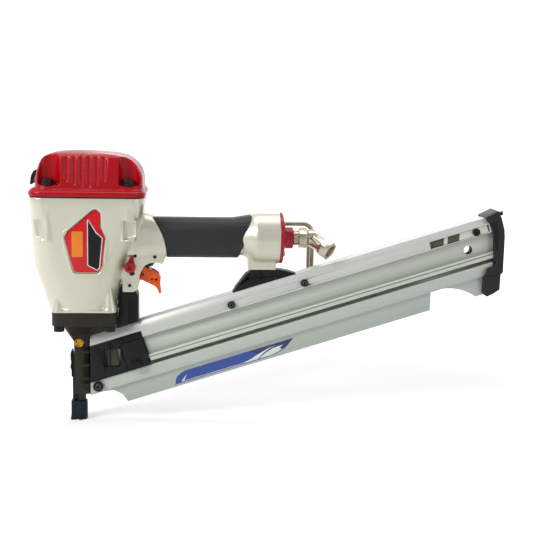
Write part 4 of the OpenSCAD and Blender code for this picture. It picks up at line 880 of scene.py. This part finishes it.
# the crown at shares of its height: the share, its front and rear ends and its half width
DOME = (
    (0.0, -45.0, 74.5, 42.0), (0.3, -44.4, 74.2, 41.6), (0.5, -42.6, 72.0, 40.8),
    (0.66, -40.4, 67.6, 39.6), (0.8, -37.4, 61.6, 38.2), (0.88, -34.0, 55.6, 36.6),
    (0.94, -28.0, 46.0, 32.6), (0.975, -19.0, 32.0, 26.0), (1.0, -8.0, 14.0, 16.0))
DOME_STEPS = 26


def dome_profile(height):
    """Front end, rear end and half width of the cap at a share of its height."""
    for low, high in zip(DOME, DOME[1:]):
        if height <= high[0]:
            share = (height - low[0]) / (high[0] - low[0])
            return [a + (b - a) * share for a, b in zip(low[1:], high[1:])]


def cap_dome():
    """The cap's crown: a rounded block whose top is drawn up and in, ring by ring."""
    front, rear, half = dome_profile(0.0)
    obj = block("cap_dome", (front, -half, CAP_BODY_Z - 5), (rear, half, CAP_BODY_Z))
    edit(obj)
    round_corners(obj, 14)
    height = CAP_TOP_Z - CAP_BODY_Z
    now = (front, rear, half)
    for i in range(1, DOME_STEPS + 1):
        share = math.sin(0.5 * math.pi * i / DOME_STEPS)
        before = math.sin(0.5 * math.pi * (i - 1) / DOME_STEPS)
        new = dome_profile(share)
        if i == 1:
            choose(obj, lambda face: face.normal.z > 0.9)
        forward = ((new[0] + new[1]) - (now[0] + now[1])) / 2 * MM
        bpy.ops.mesh.extrude_region_move(
            TRANSFORM_OT_translate={"value": (forward, 0, (share - before) * height * MM)})
        bpy.ops.transform.resize(
            value=((new[1] - new[0]) / (now[1] - now[0]), new[2] / now[2], 1))
        now = new
    leave()
    return obj


def top_cap():
    """The crimson cap: crown, stepped flange, corner pockets, flutes and a hollow underside."""
    obj = cap_dome()
    front, rear = DECK_X
    flange = rounded_plate("cap_flange", (front - 1, rear + 1), DECK_HALF_W + 1, 17,
                           CAP_Z, CAP_Z + FLANGE_H)
    step = rounded_plate("cap_step", (front + 1.2, rear - 1.2), DECK_HALF_W - 1.2, 15,
                         CAP_Z + 5, CAP_BODY_Z)
    join(obj, flange, step)
    modify(obj, "REMESH", mode="VOXEL", voxel_size=0.85 * MM)
    below = CAP_Z - 1
    for x in CAP_BOLT_X:
        for side in SIDES:
            centre, y = x + (1.5 if x < 0 else 2.0), side * (CAP_BOLT_Y + 4)
            pocket = rod("pocket", (centre, y, CAP_POCKET_Z), (centre, y, CAP_TOP_Z + 4),
                         CAP_POCKET_R, 64)
            cut(obj, bevelled(pocket, 3.4, segments=5))
            y = side * CAP_BOLT_Y
            cut(obj, rod("bolt_hole", (x, y, below), (x, y, CAP_POCKET_Z + 1), 3.2, 32))
    for i, rise in enumerate(FLUTE_RISE):
        x = FLUTE_MID_X + (i - 2.5) * FLUTE_PITCH
        for side in SIDES:
            cut(obj, rod("flute", (x, side * 45.4, CAP_BODY_Z + rise),
                         (x, side * 38.8, CAP_TOP_Z + 2), FLUTE_R[0], 32, FLUTE_R[1]))
    radius, top = VALVE_BORE
    cut(obj, rod("valve_bore", (0, 0, below), (0, 0, top), radius, 96))
    radius, top = REAR_CHAMBER
    cut(obj, rod("rear_chamber", (REAR_CHAMBER_X, 0, below), (REAR_CHAMBER_X, 0, top), radius, 64))
    cut(obj, block("exhaust_passage", (front - 2, -13, CAP_BODY_Z + 7), (-20, 13, CAP_BODY_Z + 13)))
    radius, top = STOP_POST
    join(obj, rod("stop_post", (0, 0, CAP_Z), (0, 0, top), radius, 64))
    return cast(obj, voxel=0.8, rounds=6, keep=0.9)


# ------------ small pieces
def pin_bosses():
    """Low rings of the casting round the cross pins of the trigger guard."""
    parts = []
    for x, z in GUARD_PINS:
        for side in SIDES:
            boss = rod("pin_boss", (x, side * GUARD_Y, z), (x, side * (GUARD_Y + 1), z), 3.4, 32)
            cut(boss, rod("boss_bore", (x, side * 16, z), (x, side * 20, z), 2.0, 32))
            parts.append(boss)
    return bevelled(merged("pin_bosses", parts), 0.3)


def coil_spring(name, x, y, low, high, radius, wire_radius, turns):
    """A round wire wound in a helix between two heights, in millimetres."""
    curve = bpy.data.curves.new(name, "CURVE")
    curve.dimensions = "3D"
    curve.bevel_depth = wire_radius * MM
    curve.bevel_resolution = 3
    curve.use_fill_caps = True
    spline = curve.splines.new("POLY")
    count = 24 * turns
    spline.points.add(count)
    for i, point in enumerate(spline.points):
        share = i / count
        angle = 2 * math.pi * turns * share
        z = low + wire_radius + (high - low - 2 * wire_radius) * share
        point.co = (*mm(x + radius * math.cos(angle), y + radius * math.sin(angle), z), 1)
    pick(new_object(name, curve))
    bpy.ops.object.convert(target="MESH")
    bpy.ops.object.shade_smooth()
    return bpy.context.object


def label_shape(name, points, lift):
    """A printed field of the magazine's label: points along it and up from its lower edge."""
    start = on_rail(LABEL_S, LABEL_V, -SKIRT_Y - lift)
    corners = [start + ALONG * u * MM - DOWN * w * MM for u, w in points]
    return outline(name, corners, mm(0, -0.05, 0))


def swivel_threads():
    """Crests of the thread on the swivel's neck."""
    rings = [ring((SWIVEL_X + 1.1 + THREAD_PITCH * i, 0, HANDLE_Z), (0, math.radians(90), 0),
                  8.35, 0.55, 64, 10) for i in range(4)]
    return smooth(merged("swivel_threads", rings), 60)


def guide_pin():
    """The pin on which the pawl swings, with a knob at each end, in front of the guide."""
    x = PAWL_PIN_X
    parts = [rod("guide_pin", (x, -13.3, 66), (x, -13.3, 93), 0.95, 24)]
    for low, high in ((64.6, 67.2), (90.6, 93.2)):
        parts.append(rod("knob", (x, -13.0, low), (x, -13.0, high), 1.9, 24))
    return bevelled(merged("guide_pin", parts), 0.3)


def bolt_highlight_rims():
    """Bright zinc rings round the sockets of the magazine's bolts, as painted highlights."""
    # x, depth under the magazine's top edge, y, radius
    places = [(21.4, 60, -15.0, 2.7)]
    places += [(x, 12, side * 16.0, 2.1) for x in RAIL_BOLT_X for side in SIDES]
    rims = []
    for x, v, y, radius in places:
        z = MAG_FRONT[1] + (x - MAG_FRONT[0]) * math.tan(MAG_ANGLE) - v / math.cos(MAG_ANGLE)
        # bright rings that stand for the bolts' highlights
        rims.append(ring((x, y, z), (math.radians(90), 0, 0), radius, 0.32, 40, 8))
    return smooth(merged("bolt_highlight_rims", rims), 60)


def detent_screw():
    """The dark screw under the selector that gives it its two stops."""
    x, z = DETENT_X, DETENT_Z
    obj = rod("detent_screw", (x, -17.5, z), (x, -19.3, z), 2.5, 32)
    cut(obj, rod("socket", (x, -18.4, z), (x, -20.0, z), 1.2, 6))
    return bevelled(obj, 0.25)


def cover_web():
    """The flange of the arm's cover that closes the gap beside the barrel."""
    corners = [(43.5, 136.0), (56.0, 136.0), (56.0, 163.0), (50.5, 170.5), (46.0, 156.0)]
    return bevelled(side_plate("cover_web", corners, -11.0, 2.0), 0.5)


def end_cap_shade_plate():
    """A thin black plate on each side of the end cap that paints the shade of its sunk part, with
    two ribs that run down it.
    """
    corners = [(476.9, 238.6), (484.4, 240.4), (487.0, 226.0), (488.2, 207.0), (484.4, 207.0),
               (482.0, 226.2)]
    parts = []
    for side in SIDES:
        # a black sheet that stands for the shade in the sunk part of the side
        parts.append(side_plate("recess", corners, -17.0 if side < 0 else 17.25, 0.25))
        y = side * 17.1
        for shift in (0.0, 2.4):
            top, foot = (483.4 + shift, y, 232), (485.6 + shift * 0.8, y, 209)
            parts.append(rod("rib", top, foot, 0.45, 12))
    return smooth(merged("end_cap_shade_plate", parts), 30)


def end_cap_nub():
    """The short latch pin at the cap's rear upper corner."""
    obj = rod("end_cap_nub", (485.5, -9.5, 249.2), (492.9, -9.5, 250.4), 1.8, 32)
    join(obj, rod("nub_head", (490.7, -9.5, 250.0), (493.1, -9.5, 250.4), 2.5, 32))
    return bevelled(obj, 0.35)


def pusher_ribs():
    """Grip ribs on the pusher's thumb tab."""
    parts = []
    for i in range(4):
        s = PUSHER_S + 7.4 + 2.4 * i
        low, high = (on_rail(s, v, -19.9) / MM for v in (44.4, 49.8))
        parts.append(rod("grip_rib", low, high, 0.55, 12))
    return smooth(merged("pusher_ribs", parts), 40)


# ------------ pieces
place(housing(), CHAMPAGNE, "tool", "main_housing", "main_housing")
place(badge_rim(), CHAMPAGNE, "tool", "main_housing")
place(pin_bosses(), CHAMPAGNE, "tool", "main_housing")
place(top_cap(), CRIMSON, "tool", "top_cap", "top_cap")

plate = side_plate("badge_plate", BADGE, BADGE_Y, BADGE_T)
place(bevelled(plate, 0.5, segments=3), BADGE_RED, "tool", "badge", "badge")
PANEL = fillet([(13.4, 190.6), (24.2, 184.8), (27.2, 187.6), (30.6, 221.6), (23.4, 228.0),
                (13.6, 244.4)], 1.4, 4)
FIELD = fillet([(-3.6, 200.2), (8.6, 200.2), (8.6, 228.6), (-3.6, 228.6)], 0.8, 3)
for name, points, thickness, material in (
        ("badge_panel_line", PANEL, PRINT_T, PRINT_WHITE),
        ("badge_panel", parallel(PANEL, -0.95), PRINT_T + 0.07, BADGE_BLACK),
        ("badge_field", FIELD, PRINT_T, BADGE_ORANGE)):
    place(side_plate(name, points, BADGE_FACE_Y, thickness), material, "tool", "badge")

# softened copies of the frame's nodes: width of the rounded edge in millimetres, and the finish
SOFT = {
    "cap_bolts": (0.45, BLACK_OXIDE), "exhaust_deflector": (0.5, BLACK_PLASTIC),
    "nose_bolts": (0.45, BLACK_OXIDE), "nose_pin": (0.5, BRASS), "contact_foot": (0.35, BLUED),
    "contact_pad": (0.4, BLACK_PLASTIC), "contact_arm": (0.3, DARK_SHEET),
    "depth_dial": (0.35, BLACK_PLASTIC), "arm_cover": (0.5, BLACK_PLASTIC),
    "trigger": (0.22, ORANGE), "contact_lever": (0.25, STAMPED),
    "mode_selector": (0.5, CRIMSON_RING), "grip_sleeve": (0.6, GRIP),
    "end_cap": (0.5, CRIMSON_RING), "end_cap_screws": (0.3, ZINC), "swivel_base": (0.5, NICKEL),
    "swivel_elbow": (0.5, NICKEL), "hook_bracket": (0.6, STAMPED),
    "magazine_rail": (0.35, ALUMINIUM), "magazine_near_wall": (0.35, ALUMINIUM),
    "magazine_far_wall": (0.35, ALUMINIUM), "magazine_bracket": (0.6, BLACK_PLASTIC),
    "bracket_bolts": (0.4, BLACK_OXIDE), "magazine_bolt": (0.6, BLACK_OXIDE),
    "front_guide": (0.4, GUIDE_BLACK), "feed_pawl": (0.25, PAWL_STEEL),
    "pusher": (0.5, GUIDE_BLACK), "nail_stop_leaf": (0.2, STOP_SHEET),
    "nail_stop_tab": (0.2, STOP_SHEET), "nail_stop_screw": (0.4, BLACK_OXIDE),
    "magazine_end_cap": (0.9, CHARCOAL_PLASTIC), "end_cap_foot": (0.8, CHARCOAL_PLASTIC),
    "nose_body": (0.6, BLACK_CAST), "rafter_hook": (0.2, HOOK_STEEL),
}
for node, (width, material) in SOFT.items():
    piece = bevelled(copy_of(node, node + "_soft"), width)
    place(piece, material, nodes[node]["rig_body"], node, node)

# inner nodes that keep the frame's own shape
KEPT = {
    "cap_gasket": GASKET, "cylinder_sleeve": ANODISED, "sleeve_seal": RUBBER, "head_valve": ACETAL,
    "piston_stop": RUBBER, "piston": MACHINED, "piston_ring": RUBBER, "driver_blade": MACHINED,
    "bumper": URETHANE, "lever_pin": BLACK_OXIDE, "guard_pins": BLACK_OXIDE,
    "trigger_valve": BLACK_OXIDE, "valve_stem": MACHINED, "air_filter": FILTER_FOAM,
    "pawl_pin": BLACK_OXIDE, "pusher_blade": STAMPED, "pusher_spring": SPRING_WIRE,
    "magazine_label": LABEL_BLUE,
}
for node, material in KEPT.items():
    nodes[node].data.materials.clear()
    nodes[node].data.materials.append(material)
    smooth(nodes[node], 40)

# springs: their joint, x, y, ends, radius, wire radius and turns, share of length kept, fixed end
for name, joint, geometry, keep, anchor in (
        ("contact_spring", "foot_slide", (57.5, 0, 130.8, 151.8, 5.2, 0.7, 5), 0.571, 151.8),
        ("valve_return_spring", "head_valve_lift", (0, 0, 275.95, 306.3, 20.0, 1.1, 4), 0.835,
         306.3)):
    spring = coil_spring(name + "_wire", *geometry)
    place(spring, SPRING_WIRE, "tool", name, name)
    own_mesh(spring)

for make, material, node in (
        (swivel_threads, NICKEL, "swivel_base"), (guide_pin, BLACK_OXIDE, "pawl_pin"),
        (bolt_highlight_rims, ZINC, "bracket_bolts"), (cover_web, BLACK_PLASTIC, "arm_cover"),
        (detent_screw, BLACK_OXIDE, "guard_pins"),
        (end_cap_shade_plate, BLACK_PLASTIC, "magazine_end_cap"),
        (end_cap_nub, CHARCOAL_PLASTIC, "magazine_end_cap"), (pusher_ribs, GUIDE_BLACK, "pusher")):
    place(make(), material, nodes[node]["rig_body"], node)

# printed fields of the label: outline, height over the magazine's wall, and finish
for name, points, lift, material in (
        ("label_tail", [(118, 13), (150, 13), (144, 9), (136, 5.2), (126, 2.2), (112, 0.4),
                        (96, 13)], 0.44, LABEL_NAVY),
        ("label_fin", [(9, 1.0), (12, 1.0), (14, 4.0), (17.5, 7.6), (13.6, 5.6), (11, 3.2)], 0.5,
         PRINT_WHITE),
        ("label_line", [(12, 0.9), (84, 0.9), (84, 1.5), (12, 1.5)], 0.5, PRINT_WHITE),
        ("label_sweep", [(82, 0.9), (103, 0.9), (107, 3.6), (112, 6.4), (120, 9.2), (128, 10.8),
                         (118, 9.8), (106, 6.8), (96, 3.6)], 0.5, PRINT_WHITE),
        ("label_wing", [(105, 0.9), (119, 0.9), (128, 2.4), (134, 4.6), (131, 6.2), (136, 9.0),
                        (124, 8.4), (114, 5.6), (108, 3.0)], 0.5, PRINT_WHITE)):
    place(label_shape(name, points, lift), material, "tool", "magazine_label")


# ------------ studio and camera
def seen_directly(tree, behind):
    """1 for rays from the camera or through glass, behind for reflections, 0 for other light."""
    path = add(tree, "LightPath")
    mirrored = times(tree, path.outputs["Is Glossy Ray"], behind)
    seen = value_math(tree, "MAXIMUM", path.outputs["Is Camera Ray"], mirrored)
    return value_math(tree, "MAXIMUM", seen, path.outputs["Is Transmission Ray"])


def shown_white(name, where, share):
    """A matt pale surface that shines for the rays that see it.

    share is how white it shows at where and far from it. Reflections see less of it in front
    of the object than behind, so that dark plastics stay dark.
    """
    material, tree, shader, position = start_material(name, coat_roughness=0.03, specular=0.1)
    shader.inputs["Base Color"].default_value = (0.8, 0.8, 0.8, 1)
    shader.inputs["Roughness"].default_value = 0.9
    shader.inputs["Emission Color"].default_value = (1, 1, 1, 1)
    distance = vector_math(tree, "DISTANCE", position, where).outputs["Value"]
    lift = span(tree, distance, 0.35, 1.6, *share)
    behind = span(tree, parts_of(tree, position)[1], -0.4, 0.3, 0.3, 1.0)
    glow = times(tree, seen_directly(tree, behind), lift)
    wire(tree, glow, shader.inputs["Emission Strength"])
    return material


def studio():
    """A pale floor that ends in a white backdrop, a soft sky and four large lamps."""
    world = bpy.context.scene.world or bpy.data.worlds.new("studio")
    bpy.context.scene.world = world
    world.use_nodes = True
    tree = world.node_tree
    tree.nodes.clear()
    out = add(tree, "OutputWorld")
    white, soft, mix = (add(tree, kind) for kind in ("Background", "Background", "MixShader"))
    for shade, colour, strength in ((white, (1, 1, 1, 1), 1.0), (soft, (0.95, 0.97, 1.0, 1), 0.2)):
        shade.inputs["Color"].default_value = colour
        shade.inputs["Strength"].default_value = strength
    # reflections find a dim room in front of the object and the white backdrop behind it
    towards = add(tree, "TexCoord").outputs["Generated"]
    behind = span(tree, parts_of(tree, towards)[1], -0.35, 0.25, 0.38, 0.7)
    wire(tree, seen_directly(tree, behind), mix.inputs["Fac"])
    wire(tree, soft.outputs[0], mix.inputs[1])
    wire(tree, white.outputs[0], mix.inputs[2])
    wire(tree, mix.outputs[0], out.inputs["Surface"])

    floor_middle = (MIDDLE.x, 0.0, 0.0)
    bpy.ops.mesh.primitive_plane_add(size=60, location=floor_middle)
    floor = bpy.context.object
    floor.name = "floor"
    settle(floor)
    floor.data.materials.append(shown_white("pale_floor", floor_middle, (0.45, 1.0)))

    for name, where, size, power in LAMPS:
        light = bpy.data.lights.new(name, "AREA")
        light.shape = "RECTANGLE"
        light.size, light.size_y = size
        light.energy = power
        lamp = new_object(name, light)
        lamp.location = where
        lamp.rotation_euler = (MIDDLE - Vector(where)).to_track_quat("-Z", "Y").to_euler()


def camera():
    """The photograph's view: distance, angle and roll as found from its edges."""
    back = (EYE - AIM).normalized()
    right = Vector((0, 0, 1)).cross(back).normalized()
    up = back.cross(right)
    turned_right = right * math.cos(ROLL) + up * math.sin(ROLL)
    turned_up = up * math.cos(ROLL) - right * math.sin(ROLL)
    data = bpy.data.cameras.new("camera")
    data.sensor_width = 36
    data.lens = data.sensor_width * FOCAL_PIXELS / PHOTO_PIXELS
    data.clip_start = 0.05
    obj = new_object("camera", data)
    axes = Matrix((turned_right, turned_up, back)).transposed().to_4x4()
    obj.matrix_world = Matrix.Translation(EYE) @ axes
    bpy.context.scene.camera = obj


studio()
camera()
bpy.context.scene.view_settings.view_transform = "Standard"
